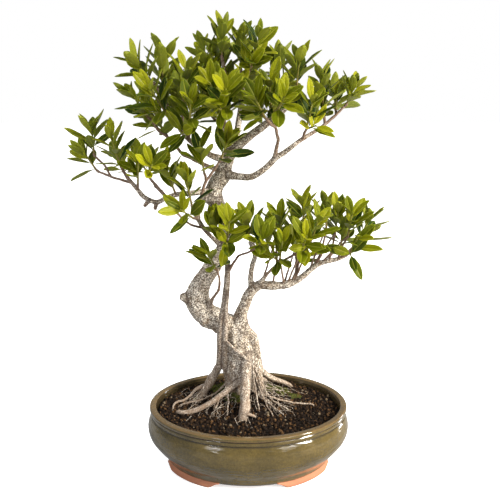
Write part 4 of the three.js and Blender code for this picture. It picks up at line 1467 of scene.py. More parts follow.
@dataclass
class LeafRule:
    """How a leaf sits on its shoot. The numbers are those of the part's source."""

    draws: Draws = field(default_factory=Draws)
    seed_step: int = 101
    spiral: float = math.radians(137.5)
    turn_spread: float = 0.4
    pitch: Pair = (1.35, 0.55)
    pitch_spread: float = 0.3
    length: Pair = (46.0, 36.0)
    length_spread: float = 0.24
    width_share: float = 0.4
    width_spread: float = 0.1
    roll_spread: float = 0.7
    lift: float = 0.2
    tries: tuple[Triple, ...] = (
        *((0, 1, 1), (0, 0.8, 1), (0.35, 0.85, 0.95), (-0.35, 0.85, 0.95)),
        *((0, 0.8, 0.8), (0.35, 0.65, 0.85), (-0.35, 0.65, 0.85), (0.7, 0.75, 0.8)),
        *((-0.7, 0.75, 0.8), (0, 0.5, 0.75), (0.35, 0.4, 0.7), (-0.35, 0.4, 0.7)),
    )

    def place(self, spray: Spray, number: int, share: float, turn: float, small: float) -> Blades:
        """Places one leaf in each of the ways that are tried.

        Args:
            spray: The spray it grows on.
            number: Number of its draws.
            share: How far up the shoot it starts.
            turn: Angle added to its place in the spiral.
            small: Share of its full size.

        Returns:
            One row for each way.
        """
        draw = self.draws.rows(spray.seed * self.seed_step + number + 1, 5)
        tries = np.array(self.tries)
        step = share * spray.leaves - 0.5
        age = float(np.clip(step / (spray.leaves - 1), 0.0, 1.0))
        angle = spray.seed + step * self.spiral + (draw[0] - 0.5) * self.turn_spread + turn
        opening = self.pitch[0] + (self.pitch[1] - self.pitch[0]) * age
        pitch = (opening + (draw[1] - 0.5) * self.pitch_spread) * tries[:, 1:2]
        size = self.length[0] + (self.length[1] - self.length[0]) * age
        length = size * (1 + (draw[2] - 0.5) * self.length_spread) * tries[:, 2] * small
        width = length * (self.width_share + (draw[3] - 0.5) * self.width_spread)
        roll = (draw[4] - 0.5) * self.roll_spread
        outward = spray.outward(angle + tries[:, 0])
        direction = spray.along * np.cos(pitch) + outward * np.sin(pitch)
        direction = unit(direction + np.array([0.0, 0.0, self.lift]))
        onto = (direction * spray.along).sum(axis=1, keepdims=True)
        flat = unit(spray.along - direction * onto)
        facing = flat * math.cos(roll) + np.cross(direction, flat) * math.sin(roll)
        base = np.broadcast_to(spray.foot + (spray.end - spray.foot) * share, direction.shape)
        return Blades(base, direction, facing, length, width, np.full(len(tries), age))


@dataclass
class Foliage:
    """The leaves of all sprays, grown where they have room."""

    rule: LeafRule = field(default_factory=LeafRule)
    room: Pair = (2.4, 1.6)
    close_room: Pair = (0.4, 0.4)
    side_room: Pair = (-1000.0, 0.4)
    stations: tuple[float, ...] = (0.0, 0.09, 0.15, 0.28, 0.46, 0.65, 0.82, 0.94)
    petiole: float = 0.11
    side_size: float = 0.95
    full_size: float = 1.07
    slender: float = 0.92
    shoot_sides: int = 7
    tip_leaves: tuple[Four, ...] = ((40, 0.97, 2.2, 0.95), (41, 1.0, 4.3, 0.8))
    swell: float = 0.82
    narrow: float = 0.78
    fold: Pair = (0.12, 0.42)
    sweep: Pair = (-0.09, 0.09)
    curl: Pair = (0.06, 0.2)
    tone_spread: float = 0.22
    stem_ends: Pair = (1.7, 1.15)
    bud: tuple[Pair, ...] = ((1.05, 1.35), (1.12, 0.9), (1.2, 0.3))

    def build(self, sprays: list[Spray], finish: "Leaf") -> list[bpy.types.Object]:
        """Builds one piece for each spray.

        Args:
            sprays: The sprays.
            finish: The look of the leaves.

        Returns:
            The pieces.
        """
        material = finish.build()
        growth = Growth()
        radii = np.array(growth.shoot_radii)
        shoots = np.array([[*spray.foot, radii[0], *spray.end, radii[1]] for spray in sprays])
        limbs = [pieces_of(np.array(route, float)) for route in ROUTES.values()]
        for spray in sprays:
            widths = np.linspace(growth.branchlet_radius, radii[0], len(spray.branchlet))
            limbs.append(pieces_of(np.column_stack([spray.branchlet, widths])))
        wood = np.concatenate(limbs)
        pieces = []
        for own, spray in enumerate(sprays):
            sides = growth.side_shoots(spray)
            leaves = self.gather(self.grow(spray, sides, own, shoots, wood))
            stems = [self.shoot(stem) for stem in [spray, *sides]]
            surface = join([self.blades(leaves, spray), *stems])
            self.dress(surface, leaves)
            piece = make_object(f"{spray.name}_leaves", surface, material)
            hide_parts(spray.name)
            pieces.append(piece)
        return pieces

    def grow(
        self, spray: Spray, sides: list[Spray], own: int, shoots: Array, wood: Array
    ) -> list[Blades]:
        """Grows the leaves of a spray: those of the CAD node, and smaller ones between them.

        Args:
            spray: The spray.
            sides: The short shoots on its branchlet.
            own: Its row in shoots.
            shoots: All shoots as tapered pieces.
            wood: All wood as tapered pieces.

        Returns:
            The leaves that have room.
        """
        ends = (shoots[own : own + 1], np.delete(shoots, own, axis=0), wood)
        rule, kept = self.rule, []
        for number in range(spray.leaves):
            share = (number + 0.5) / spray.leaves
            kept += self.settle(rule.place(spray, number, share, 0.0, 1.0), ends, self.room)
        for number, share, turn, small in self.tip_leaves:
            tried = rule.place(spray, number, share, turn, small)
            kept += self.settle(tried, ends, self.close_room)
        for side in sides:
            for number in range(side.leaves):
                share = 0.15 + 0.85 * (number + 0.5) / side.leaves
                tried = rule.place(side, number, share, 0.0, self.side_size)
                kept += self.settle(tried, ends, self.side_room)
        return kept

    def settle(
        self, tried: Blades, ends: tuple[Array, Array, Array], room: Pair
    ) -> list[Blades]:
        """Takes the first way in which a leaf has room, and lets one cut short grow.

        Args:
            tried: One leaf in each of the ways that are tried.
            ends: Its own shoot, the other shoots and the wood, as tapered pieces.
            room: How much nearer it must be to its own shoot than to others, and its
                distance from the wood.

        Returns:
            The leaf, or nothing.
        """
        probes = tried.probes()
        mine, other, wood = (
            capsules(probes.reshape(-1, 3), rows)[0].min(axis=1).reshape(probes.shape[:2])
            for rows in ends
        )
        fits = ((other - mine > room[0]) & (wood > room[1])).all(axis=1)
        if not fits.any():
            return []
        way = int(fits.argmax())
        leaf = tried.pick(np.array([way]))
        more = self.full_size / math.sqrt(self.rule.tries[way][2])
        leaf.length = leaf.length * more
        leaf.width = leaf.width * more
        return [leaf]

    def gather(self, leaves: list[Blades]) -> Blades:
        """Puts several lists of leaves into one."""
        names = Blades.__dataclass_fields__
        return Blades(*[np.concatenate([getattr(leaf, name) for leaf in leaves]) for name in names])

    def blades(self, leaves: Blades, spray: Spray) -> Surface:
        """Makes the blades: rings of six points round the blade at each station, and a tip.

        Past the stalk, with t the share of the blade, half the width is t to the swell times
        1 - t to the narrow, scaled to slender at its widest. The sides stand up from the midrib, the
        halves are bowed, and the whole bends down with the square of the share.

        Args:
            leaves: The leaves.
            spray: Their spray, for the seed.

        Returns:
            The closed blades.
        """
        draws = np.random.default_rng(spray.seed)
        count = len(leaves.length)
        share = np.array(self.stations)
        t = np.clip((share - self.petiole) / (1.0 - self.petiole), 0.0, 1.0)
        shape = t**self.swell * (1.0 - t) ** self.narrow
        peak = self.swell / (self.swell + self.narrow)
        shape = shape * self.slender / (peak**self.swell * (1.0 - peak) ** self.narrow)
        stalk = 0.62 / (leaves.width[:, None] / 2.0)
        half = np.maximum(shape[None, :], stalk)
        columns = np.array([-1.0, -0.5, 0.0, 0.5, 1.0, 0.0])
        fold = draws.uniform(*self.fold, count)[:, None, None]
        sweep = draws.uniform(*self.sweep, count)[:, None, None]
        curl = draws.uniform(*self.curl, count)[:, None, None]
        wave = draws.uniform(0.0, TURN, count)[:, None, None]
        reach = half[:, :, None] * (leaves.width / leaves.length)[:, None, None] / 2.0
        side = np.abs(columns)[None, None, :]
        along = share[None, :, None]
        bow = np.where(side == 0.5, 0.16, 0.0) * reach
        ripple = np.sin(along * 9.0 + wave) * side * 0.09 * reach
        lift = reach * fold * (side - 0.7) + bow + ripple - curl * along**2
        thick = np.where(np.arange(6) == 5, -0.42, np.where(side == 1.0, 0.0, 0.12))
        lift = lift + thick / leaves.length[:, None, None]
        bend = sweep * 2.0 * (leaves.length / leaves.width)[:, None, None]
        across = half[:, :, None] * columns + bend * along**2
        along = np.broadcast_to(along, lift.shape)
        rings = blade_points(leaves, *(part.reshape(count, -1) for part in (along, across, lift)))
        rings = rings.reshape(count, len(share), 6, 3)
        tips = blade_points(leaves, np.ones((count, 1)), bend[:, 0], -curl[:, 0])[:, 0]
        surface = skin(rings, leaves.base, tips)
        odds = draws.normal(0.0, self.tone_spread, count)
        tone = np.clip(0.25 + 0.45 * leaves.age + odds, 0.0, 1.0)
        return surface.fill(tone=np.repeat(tone, len(share) * 6 + 2), shoot=0.0)

    def shoot(self, spray: Spray) -> Surface:
        """Makes the green shoot, with the pointed bud at its tip.

        Args:
            spray: Its spray.

        Returns:
            The shoot.
        """
        bud, rings = np.array(self.bud), 9
        share = np.append(np.linspace(0.0, 1.0, rings), bud[:, 0])
        path = spray.foot + (spray.end - spray.foot) * share[:, None]
        radii = np.append(np.linspace(*self.stem_ends, rings), bud[:, 1])
        surface = tube(path, radii, self.shoot_sides)
        young = spread(np.clip(share, 0.0, 1.0), self.shoot_sides)
        return surface.fill(tone=0.7, shoot=0.25 + 0.75 * young)

    def dress(self, surface: Surface, leaves: Blades) -> None:
        """Adds the coordinates, the creases and the undersides to blades and shoots.

        Args:
            surface: The blades and behind them the shoots, changed in place.
            leaves: The leaves.
        """
        count, stations = len(leaves.length), len(self.stations)
        block = stations * 6 + 2
        rest = len(surface.points) - count * block
        columns = np.array([0.0, 0.25, 0.5, 0.75, 1.0, 0.5])
        uv = np.zeros((count, block, 2))
        uv[:, :-2, 0] = np.tile(columns, stations)
        uv[:, :-2, 1] = np.repeat(self.stations, 6)
        uv[:, -2:] = (0.5, 0.0), (0.5, 1.0)
        surface.uv = np.concatenate([uv.reshape(-1, 2), np.full((rest, 2), 0.25)])
        lines = np.append(np.tile([0, -1, 2, -1, 4, -1], stations), [-1, -1])
        surface.crease = np.concatenate([np.tile(lines, count), np.full(rest, -1)])
        under = np.zeros(len(surface.quads))
        sides = np.tile([0.0, 0.0, 0.0, 0.0, 1.0, 1.0], (stations - 1) * count)
        under[: len(sides)] = sides
        surface.quad_values = {"under": under}


@dataclass(frozen=True)
class Leaf:
    """Glossy leaves from dark to yellow-green, with a pale midrib and a paler underside."""

    effects: Effects
    old: Triple = (0.018, 0.046, 0.005)
    middle: Triple = (0.118, 0.142, 0.002)
    young: Triple = (0.3, 0.305, 0.006)
    rib: Triple = (0.46, 0.45, 0.06)
    under: Triple = (0.22, 0.25, 0.035)
    stem: Triple = (0.3, 0.3, 0.07)
    woody: Triple = (0.17, 0.1, 0.05)

    def build(self) -> bpy.types.Material:
        """Builds the material.

        Returns:
            The material.
        """
        material, canvas, shader = new_material("leaf")
        mottle = canvas.use(self.effects.mottle, Vector=canvas.place(), Coarse=38.0, Fine=240.0)
        shift = canvas.math("SUBTRACT", mottle, 0.5)
        tone = canvas.math("MULTIPLY_ADD", shift, 0.22, canvas.value("tone"))
        colour = canvas.ramp(tone, ((0.0, self.old), (0.5, self.middle), (1.0, self.young)))
        grid = canvas.add("ShaderNodeUVMap", uv_map="UVMap").outputs[0]
        away = canvas.math("ABSOLUTE", canvas.math("SUBTRACT", canvas.part(grid, 0), 0.5))
        slant = canvas.math("MULTIPLY_ADD", away, -0.55, canvas.part(grid, 1))
        vein = canvas.math("ABSOLUTE", canvas.math("SINE", canvas.math("MULTIPLY", slant, 30.0)))
        colour = canvas.mix(canvas.range(vein, 0.0, 0.25, 0.12, 0.0), colour, self.rib)
        rib = canvas.range(away, 0.02, 0.06, 0.5, 0.0)
        rim = canvas.range(away, 0.44, 0.49, 0.0, 0.4)
        colour = canvas.mix(canvas.math("MAXIMUM", rib, rim), colour, self.rib)
        colour = canvas.tint(canvas.value("under"), 0.6, colour, self.under)
        shoot = canvas.value("shoot")
        stem = canvas.mix(shoot, self.woody, self.stem)
        height = canvas.math("MULTIPLY_ADD", vein, 0.6, mottle)
        dressing = {
            "Base Color": canvas.mix(canvas.math("GREATER_THAN", shoot, 0.01), colour, stem),
            "Roughness": canvas.range(mottle, 0.0, 1.0, 0.34, 0.5),
            "Specular IOR Level": 0.14,
            "Subsurface Weight": 0.35,
            "Subsurface Radius": (0.8, 1.0, 0.15),
            "Subsurface Scale": 0.0018,
            "Normal": canvas.bump(height, 0.0003, 0.35),
        }
        canvas.plug(shader, dressing)
        return material


@dataclass
class Pot:
    """The oval pot on four feet, fired as one piece."""

    segments: int = 176
    belly: tuple[Triple, ...] = (
        *((139, 110, 10), (142, 113, 18), (156, 122, 34), (166.5, 128, 50)),
        *((168.5, 128.5, 62), (166, 126, 75), (162.6, 122.6, 82.6)),
    )
    mouldings: tuple[Triple, ...] = (
        *((161.9, 121.9, 83.1), (161.6, 121.6, 83.6), (162.0, 122.0, 84.1), (162.9, 122.9, 85.2)),
        *((163.5, 123.5, 87.2), (163.4, 123.4, 89.4), (162.9, 122.9, 91.0), (162.2, 122.2, 91.6)),
        *((161.9, 121.9, 92.1), (162.5, 122.5, 92.6), (164.2, 124.2, 93.0), (164.8, 124.8, 93.8)),
        *((165.0, 125.0, 95.6), (164.8, 124.8, 97.4), (164.2, 124.2, 98.4), (163.0, 123.0, 98.9)),
        *((161.0, 121.0, 99.0), (156.2, 116.2, 99.0), (155.0, 115.0, 98.7), (154.3, 114.3, 97.8)),
    )
    inside: tuple[Triple, ...] = (
        *((152.5, 112.5, 88), (150, 110, 55), (122, 92, 21.5), (118, 88, 20)),
    )
    foot_outer: Pair = (142.6, 112.6)
    foot_inner: Pair = (113.0, 84.0)
    foot_middle: float = 0.79
    foot_half_span: float = 0.45
    foot_height: float = 10.0
    foot_slope: float = 0.15
    foot_profile: tuple[Pair, ...] = (
        *((0.0, 1.0), (0.0, 0.22), (0.04, 0.06), (0.13, 0.0), (0.87, 0.0), (0.95, 0.03)),
        *((0.985, 0.12), (0.985, 0.32), (0.95, 0.6), (0.915, 0.85), (0.895, 1.0)),
    )
    drain_radius: float = 12.0
    drain_x: float = 66.0
    floor: float = 20.0

    def build(self, finish: "Glaze") -> list[bpy.types.Object]:
        """Builds the pot.

        Args:
            finish: The glaze.

        Returns:
            The one piece.
        """
        surface = join([self.bowl(), *[self.foot(quarter) for quarter in range(4)]])
        piece = make_object("pot_glazed", surface, finish.build())
        self.drain(piece)
        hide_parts("pot")
        return [piece]

    def bowl(self) -> Surface:
        """Turns the profile of the bowl into oval rings, from the base to the inner floor.

        Returns:
            The closed bowl, without its feet.
        """
        belly = np.column_stack([np.array(self.belly, float), np.zeros(len(self.belly))])
        wall = smooth_route(belly, 3.5)[:, :3]
        base = np.array([[132.0, 103.0, 10.0], [137.5, 108.5, 10.0]])
        profile = np.concatenate([base, wall, np.array(self.mouldings), np.array(self.inside)])
        rings = oval_rings(profile, self.segments)
        first = np.array([[0.0, 0.0, 10.0]])
        last = np.array([[0.0, 0.0, self.floor]])
        count = np.arange(len(profile))
        clay = (count < len(base)).astype(float)
        # The inner wall gets painted shade in the glaze.
        inner = (count >= len(profile) - len(self.inside) - 1).astype(float)
        return skin(rings[None], first, last).fill(
            clay=spread(clay, self.segments), inner=spread(inner, self.segments)
        )

    def foot(self, quarter: int) -> Surface:
        """Makes one foot as a rounded block that follows the oval of the base.

        The height of its underside falls from the base to the ground over foot_slope at both
        ends, by the smooth step.

        Args:
            quarter: Number of the foot, 0 to 3.

        Returns:
            The closed block.
        """
        middle = self.foot_middle if quarter % 2 == 0 else math.pi - self.foot_middle
        middle = middle if quarter < 2 else -middle
        span = np.linspace(-self.foot_half_span, self.foot_half_span, 41)
        drop = smoothstep(0.0, self.foot_slope, self.foot_half_span - np.abs(span))
        low = self.foot_height * (1.0 - drop)
        top = self.foot_height + 2.6
        share, rise = np.array(self.foot_profile).T
        inner, outer = np.array(self.foot_inner), np.array(self.foot_outer)
        half = inner + (outer - inner) * share[:, None]
        angle = middle + span
        length = half[:, 0] * np.cos(angle)[:, None]
        width = half[:, 1] * np.sin(angle)[:, None]
        rings = np.stack([length, width, low[:, None] + (top - low)[:, None] * rise], axis=-1)
        ends = [ring.mean(axis=0)[None] for ring in (rings[0], rings[-1])]
        return skin(rings[None], *ends).fill(clay=1.0, inner=0.0)

    def drain(self, piece: bpy.types.Object) -> None:
        """Cuts the two drain holes through the floor of the pot.

        Args:
            piece: The pot, whose mesh is exchanged for the cut one.
        """
        heights = np.linspace(self.floor + 5.0, 5.0, 3)
        cutters = []
        for x in (-self.drain_x, self.drain_x):
            path = np.column_stack([np.full(3, x), np.zeros(3), heights])
            cutters.append(tube(path, np.full(3, self.drain_radius), 40))
        tool = bpy.data.objects.new("drain_tool", make_mesh("drain_tool", join(cutters)))
        bpy.context.scene.collection.objects.link(tool)
        modifier = piece.modifiers.new("drain", "BOOLEAN")
        modifier.operation = "DIFFERENCE"
        modifier.object = tool
        graph = bpy.context.evaluated_depsgraph_get()
        cut = bpy.data.meshes.new_from_object(piece.evaluated_get(graph))
        piece.modifiers.clear()
        old = piece.data
        piece.data = cut
        bpy.data.meshes.remove(old)
        bpy.data.objects.remove(tool)


@dataclass(frozen=True)
class Glaze:
    """Olive brown glaze, dark where it pools in the grooves, painted shade inside, bare red clay below.
    """

    effects: Effects
    clay: Triple = (0.45, 0.185, 0.1)
    clay_dark: Triple = (0.34, 0.14, 0.08)
    thin: Triple = (0.118, 0.083, 0.022)
    thick: Triple = (0.056, 0.041, 0.011)
    # Colour of pooled glaze, also used for the painted shade of the inner wall.
    pooled_and_shaded: Triple = (0.03, 0.022, 0.012)
    edge: Triple = (0.2, 0.115, 0.05)
    pools: tuple[Pair, ...] = (
        *((0.815, 0.0), (0.832, 0.85), (0.838, 0.85), (0.856, 0.05)),
        *((0.9, 0.12), (0.916, 1.0), (0.926, 1.0), (0.936, 0.0)),
    )
    edges: tuple[Pair, ...] = (
        *((0.93, 0.0), (0.938, 0.7), (0.95, 0.0)),
        *((0.974, 0.0), (0.985, 0.7), (0.9895, 0.25)),
    )
    base_line: float = 0.01

    def build(self) -> bpy.types.Material:
        """Builds the material.

        Returns:
            The material.
        """
        material, canvas, shader = new_material("glaze")
        place, effects = canvas.place(), self.effects
        mottle = canvas.use(effects.mottle, Vector=place, Coarse=26.0, Fine=330.0)
        body = canvas.ramp(mottle, ((0.0, self.thick), (1.0, self.thin)))
        height = canvas.part(place, 2)
        uneven = canvas.noise(place, 45.0, 3.0, 0.6)
        moved = canvas.math("SUBTRACT", uneven, 0.5)
        moved = canvas.math("MULTIPLY_ADD", moved, 0.0006, height)
        throw = canvas.noise(canvas.stretch(place, (1.0, 1.0, 5.0)), 34.0, 1.5, 0.5)
        level = canvas.range(height, 0.0, 0.1, 0.0, 1.0)
        colour = canvas.mix(canvas.ramp(level, self.pools), body, self.pooled_and_shaded)
        colour = canvas.mix(canvas.ramp(level, self.edges), colour, self.edge)
        speck = canvas.use(effects.specks, Vector=place, Cells=420.0, Size=0.2, Share=0.16)
        colour = canvas.tint(speck, 0.6, colour, self.pooled_and_shaded)
        # Painted shade on the inner wall of the pot.
        colour = canvas.tint(canvas.value("inner"), 0.75, colour, self.pooled_and_shaded)
        line = canvas.range(moved, self.base_line, self.base_line + 0.0026, 0.9, 0.0)
        colour = canvas.mix(line, colour, self.pooled_and_shaded)
        clay = canvas.ramp(mottle, ((0.0, self.clay_dark), (1.0, self.clay)))
        torn = canvas.math("MULTIPLY_ADD", uneven, 0.4, canvas.value("clay"))
        bare = canvas.math("GREATER_THAN", torn, 0.7)
        patch = canvas.noise(canvas.stretch(place, (1.0, 1.0, 2.5)), 75.0, 2.0, 0.5)
        gloss = canvas.range(patch, 0.42, 0.52, 0.2, 0.11)
        shine = canvas.range(patch, 0.4, 0.48, 0.55, 1.0)
        dressing = {
            "Base Color": canvas.mix(bare, colour, clay),
            "Roughness": canvas.math("MAXIMUM", gloss, canvas.math("MULTIPLY", bare, 0.82)),
            "Coat Weight": canvas.math("MULTIPLY", canvas.math("SUBTRACT", 1.0, bare), shine),
            "Coat Roughness": 0.05,
            "Normal": canvas.bump(throw, 0.003, 0.6),
        }
        canvas.plug(shader, dressing)
        return material


@dataclass
class Ground:
    """The soil in the pot, the loose grains on it and the moss."""

    edge: Pair = (152.0, 112.0)
    rings: int = 90
    segments: int = 220
    grains: int = 5600
    grain_size: Pair = (2.4, 6.2)
    tufts: int = 4200
    bumps: tuple[Triple, ...] = ((30.0, 0.9, 11), (7.0, 0.6, 13))
    wall: Pair = (153.5, 113.5)
    grain_seed: int = 17
    moss_seed: int = 23
    cushions: tuple[Four, ...] = (
        *((25, 84, 10, 5), (35, 62, 11, 6), (45, 40, 10, 7), (54, 52, 10, 6), (55, 28, 8, 6)),
        *((65, 38, 9, 6), (76, 30, 9, 5), (86, 34, 7, 4), (36, 44, 8, 7), (34, 26, 7, 7)),
        *((66, 56, 7, 4), (-58, 62, 10, 5), (-46, 66, 9, 5), (-42, 48, 9, 6), (-50, 28, 11, 8)),
        *((-40, 8, 11, 9), (-28, -2, 11, 9), (-15, -10, 8, 7), (-62, 46, 8, 4), (-90, 20, 5, 3)),
    )

    def build(self, soil: "Soil", moss: "Moss") -> list[bpy.types.Object]:
        """Builds the soil, its grains and the moss.

        Args:
            soil: The look of the soil.
            moss: The look of the moss.

        Returns:
            The three pieces.
        """
        earth = soil.build()
        body = make_object("soil_body", self.body(), earth)
        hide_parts("soil")
        grains = make_object("soil_grains", self.scatter(), earth)
        green = make_object("moss", self.moss(), moss.build())
        return [body, grains, green]

    def top(self, x: Array, y: Array) -> Array:
        """Height of the top of the soil: the mound with bumps of two sizes.

        Args:
            x: Place from left to right.
            y: Place from front to back.

        Returns:
            The height at each place.
        """
        flat = np.stack([np.ravel(x), np.ravel(y), np.zeros(np.size(x))], axis=1)
        bumps = sum(wave_noise(flat, (size,) * 3, seed) * high for size, high, seed in self.bumps)
        return soil_height(x, y) + bumps.reshape(np.shape(x)) - 0.6

    def body(self) -> Surface:
        """Makes the block of soil: its side from below, and then its top inwards.

        Returns:
            The closed block.
        """
        side = np.array([[121.5, 91.5, 20.3], [149.5, 109.5, 55.0], [*self.edge, 86.5]])
        share = np.linspace(0.995, 0.01, self.rings)[:, None]
        flat = np.column_stack([share * self.edge[0], share * self.edge[1], share * 0.0])
        rings = oval_rings(np.concatenate([side, flat]), self.segments)
        top = rings[len(side) :]
        top[..., 2] = self.top(top[..., 0], top[..., 1])
        middle = np.array([[0.0, 0.0, float(self.top(np.zeros(1), np.zeros(1))[0])]])
        surface = skin(rings[None], np.array([[0.0, 0.0, 20.3]]), middle)
        return surface.fill(grain=0.08)

    def scatter(self) -> Surface:
        """Strews grains over the soil.

        Each grain is a solid of twenty faces, stretched and turned by seeded draws. Its
        place is evenly drawn on the oval, and it sinks into the soil by a third of its size.

        Returns:
            All grains as one surface.
        """
        draws = np.random.default_rng(self.grain_seed)
        corners, faces = self.pebble()
        count = self.grains
        radius = np.sqrt(draws.uniform(0.0, 1.0, count)) * 0.985
        angle = draws.uniform(0.0, TURN, count)
        x, y = radius * self.edge[0] * np.cos(angle), radius * self.edge[1] * np.sin(angle)
        size = draws.uniform(0.0, 1.0, count) ** 1.6
        size = (self.grain_size[0] + size * (self.grain_size[1] - self.grain_size[0])) / 2.0
        first, second = unit(draws.normal(size=(2, count, 3)))
        third = unit(np.cross(first, second))
        turn = np.stack([first, np.cross(third, first), third], axis=1)
        stretch = draws.uniform(0.62, 1.2, (count, 1, 3))
        jitter = draws.uniform(0.82, 1.15, (count, 12, 1))
        points = np.einsum("nij,nkj->nki", turn, corners[None] * jitter * stretch)
        points *= size[:, None, None]
        points[..., 0] += x[:, None]
        points[..., 1] += y[:, None]
        points[..., 2] += (self.top(x, y) + size * draws.uniform(0.1, 0.75, count))[:, None]
        inside = ((points[..., :2] / self.wall) ** 2).sum(axis=2).max(axis=1) < 1.0
        points = points[inside]
        tone = draws.uniform(0.0, 1.0, count)[inside]
        triangles = (np.arange(len(points))[:, None, None] * 12 + faces[None]).reshape(-1, 3)
        surface = Surface(points.reshape(-1, 3), np.empty((0, 4), dtype=int), triangles)
        return surface.fill(grain=np.repeat(tone, 12))

    def pebble(self) -> tuple[Array, Array]:
        """Makes the plain form of a grain.

        Returns:
            The twelve corners and the twenty faces.
        """
        solid = bmesh.new()
        bmesh.ops.create_icosphere(solid, subdivisions=1, radius=1.0)
        solid.verts.index_update()
        corners = np.array([corner.co[:] for corner in solid.verts])
        faces = np.array([[corner.index for corner in face.verts] for face in solid.faces])
        solid.free()
        return corners, faces

    def moss(self) -> Surface:
        """Makes cushions of moss and the short blades that stand on them.

        A cushion is a dome whose edge wavers by smooth noise. A blade is a thin pyramid.

        Returns:
            The moss as one surface.
        """
        draws = np.random.default_rng(self.moss_seed)
        parts = []
        for x, y, radius, rise in self.cushions:
            share = np.linspace(1.0, 0.08, 7)[:, None]
            angle = np.arange(22) * TURN / 22
            edge = radius * (1.0 + 0.22 * np.sin(angle * 3 + x) + 0.12 * np.sin(angle * 5 + y))
            px, py = x + share * edge * np.cos(angle), y + share * edge * np.sin(angle)
            pz = self.top(px, py) + rise * np.sqrt(1.0 - share**2) - 1.0
            rings = np.stack([px, py, pz], axis=-1)
            ground = float(self.top(np.array([x]), np.array([y]))[0])
            top = np.array([[x, y, ground + rise - 1.0]])
            bottom = np.array([[x, y, ground - 2.5]])
            parts.append(skin(rings[None], bottom, top))
        cushions = join(parts).fill(fresh=0.12)
        pick = draws.integers(0, len(self.cushions), self.tufts)
        spots = np.array(self.cushions, float)[pick]
        reach = np.sqrt(draws.uniform(0.0, 1.0, self.tufts)) * 1.12
        angle = draws.uniform(0.0, TURN, self.tufts)
        x = spots[:, 0] + reach * spots[:, 2] * np.cos(angle)
        y = spots[:, 1] + reach * spots[:, 2] * np.sin(angle)
        z = self.top(x, y) + spots[:, 3] * np.sqrt(np.maximum(1.0 - reach**2, 0.0)) - 1.2
        root = np.stack([x, y, z], axis=1)
        lean = draws.normal(0.0, 0.45, (self.tufts, 3))
        tip = root + unit(lean + np.array([0.0, 0.0, 1.0])) * draws.uniform(1.6, 3.4, (self.tufts, 1))
        corner = draws.uniform(0.0, TURN, (self.tufts, 1)) + np.arange(3) * TURN / 3
        foot = np.stack([np.cos(corner), np.sin(corner), np.zeros_like(corner)], axis=-1)
        points = np.concatenate([root[:, None] + 0.42 * foot, tip[:, None]], axis=1)
        pattern = np.array([[0, 2, 1], [0, 1, 3], [1, 2, 3], [2, 0, 3]])
        triangles = (np.arange(self.tufts)[:, None, None] * 4 + pattern[None]).reshape(-1, 3)
        blades = Surface(points.reshape(-1, 3), np.empty((0, 4), dtype=int), triangles)
        young = np.repeat(draws.uniform(0.0, 1.0, self.tufts) ** 1.5, 4)
        return join([cushions, blades.fill(fresh=young)])


@dataclass(frozen=True)
class Soil:
    """Dark earth and grains of clay and stone, most of them dark brown."""

    effects: Effects
    earth: Triple = (0.006, 0.004, 0.003)
    brown: Triple = (0.024, 0.013, 0.007)
    clay: Triple = (0.14, 0.072, 0.028)
    stone: Triple = (0.26, 0.2, 0.13)

    def build(self) -> bpy.types.Material:
        """Builds the material.

        Returns:
            The material.
        """
        material, canvas, shader = new_material("soil")
        mottle = canvas.use(self.effects.mottle, Vector=canvas.place(), Coarse=150.0, Fine=900.0)
        dark = ((0.0, self.earth), (0.5, self.brown), (0.68, self.brown))
        pale = ((0.9, self.clay), (0.965, self.clay), (0.985, self.stone))
        colour = canvas.ramp(canvas.value("grain"), dark + pale)
        shade = canvas.range(mottle, 0.0, 1.0, 0.55, 0.0)
        dressing = {
            "Base Color": canvas.mix(shade, colour, self.earth),
            "Roughness": canvas.range(mottle, 0.0, 1.0, 0.95, 0.75),
            "Specular IOR Level": 0.2,
            "Normal": canvas.bump(mottle, 0.0006, 0.6),
        }
        canvas.plug(shader, dressing)
        return material


@dataclass(frozen=True)
class Moss:
    """Moss from dark to yellow-green."""

    effects: Effects
    dark: Triple = (0.012, 0.02, 0.004)
    fresh: Triple = (0.2, 0.21, 0.02)

    def build(self) -> bpy.types.Material:
        """Builds the material.

        Returns:
            The material.
        """
        material, canvas, shader = new_material("moss")
        mottle = canvas.use(self.effects.mottle, Vector=canvas.place(), Coarse=200.0, Fine=1200.0)
        half = canvas.math("MULTIPLY", mottle, 0.4)
        tone = canvas.math("MULTIPLY_ADD", canvas.value("fresh"), 0.7, half)
        colour = canvas.ramp(tone, ((0.1, self.dark), (1.0, self.fresh)))
        canvas.plug(shader, {"Base Color": colour, "Roughness": 0.9})
        return material


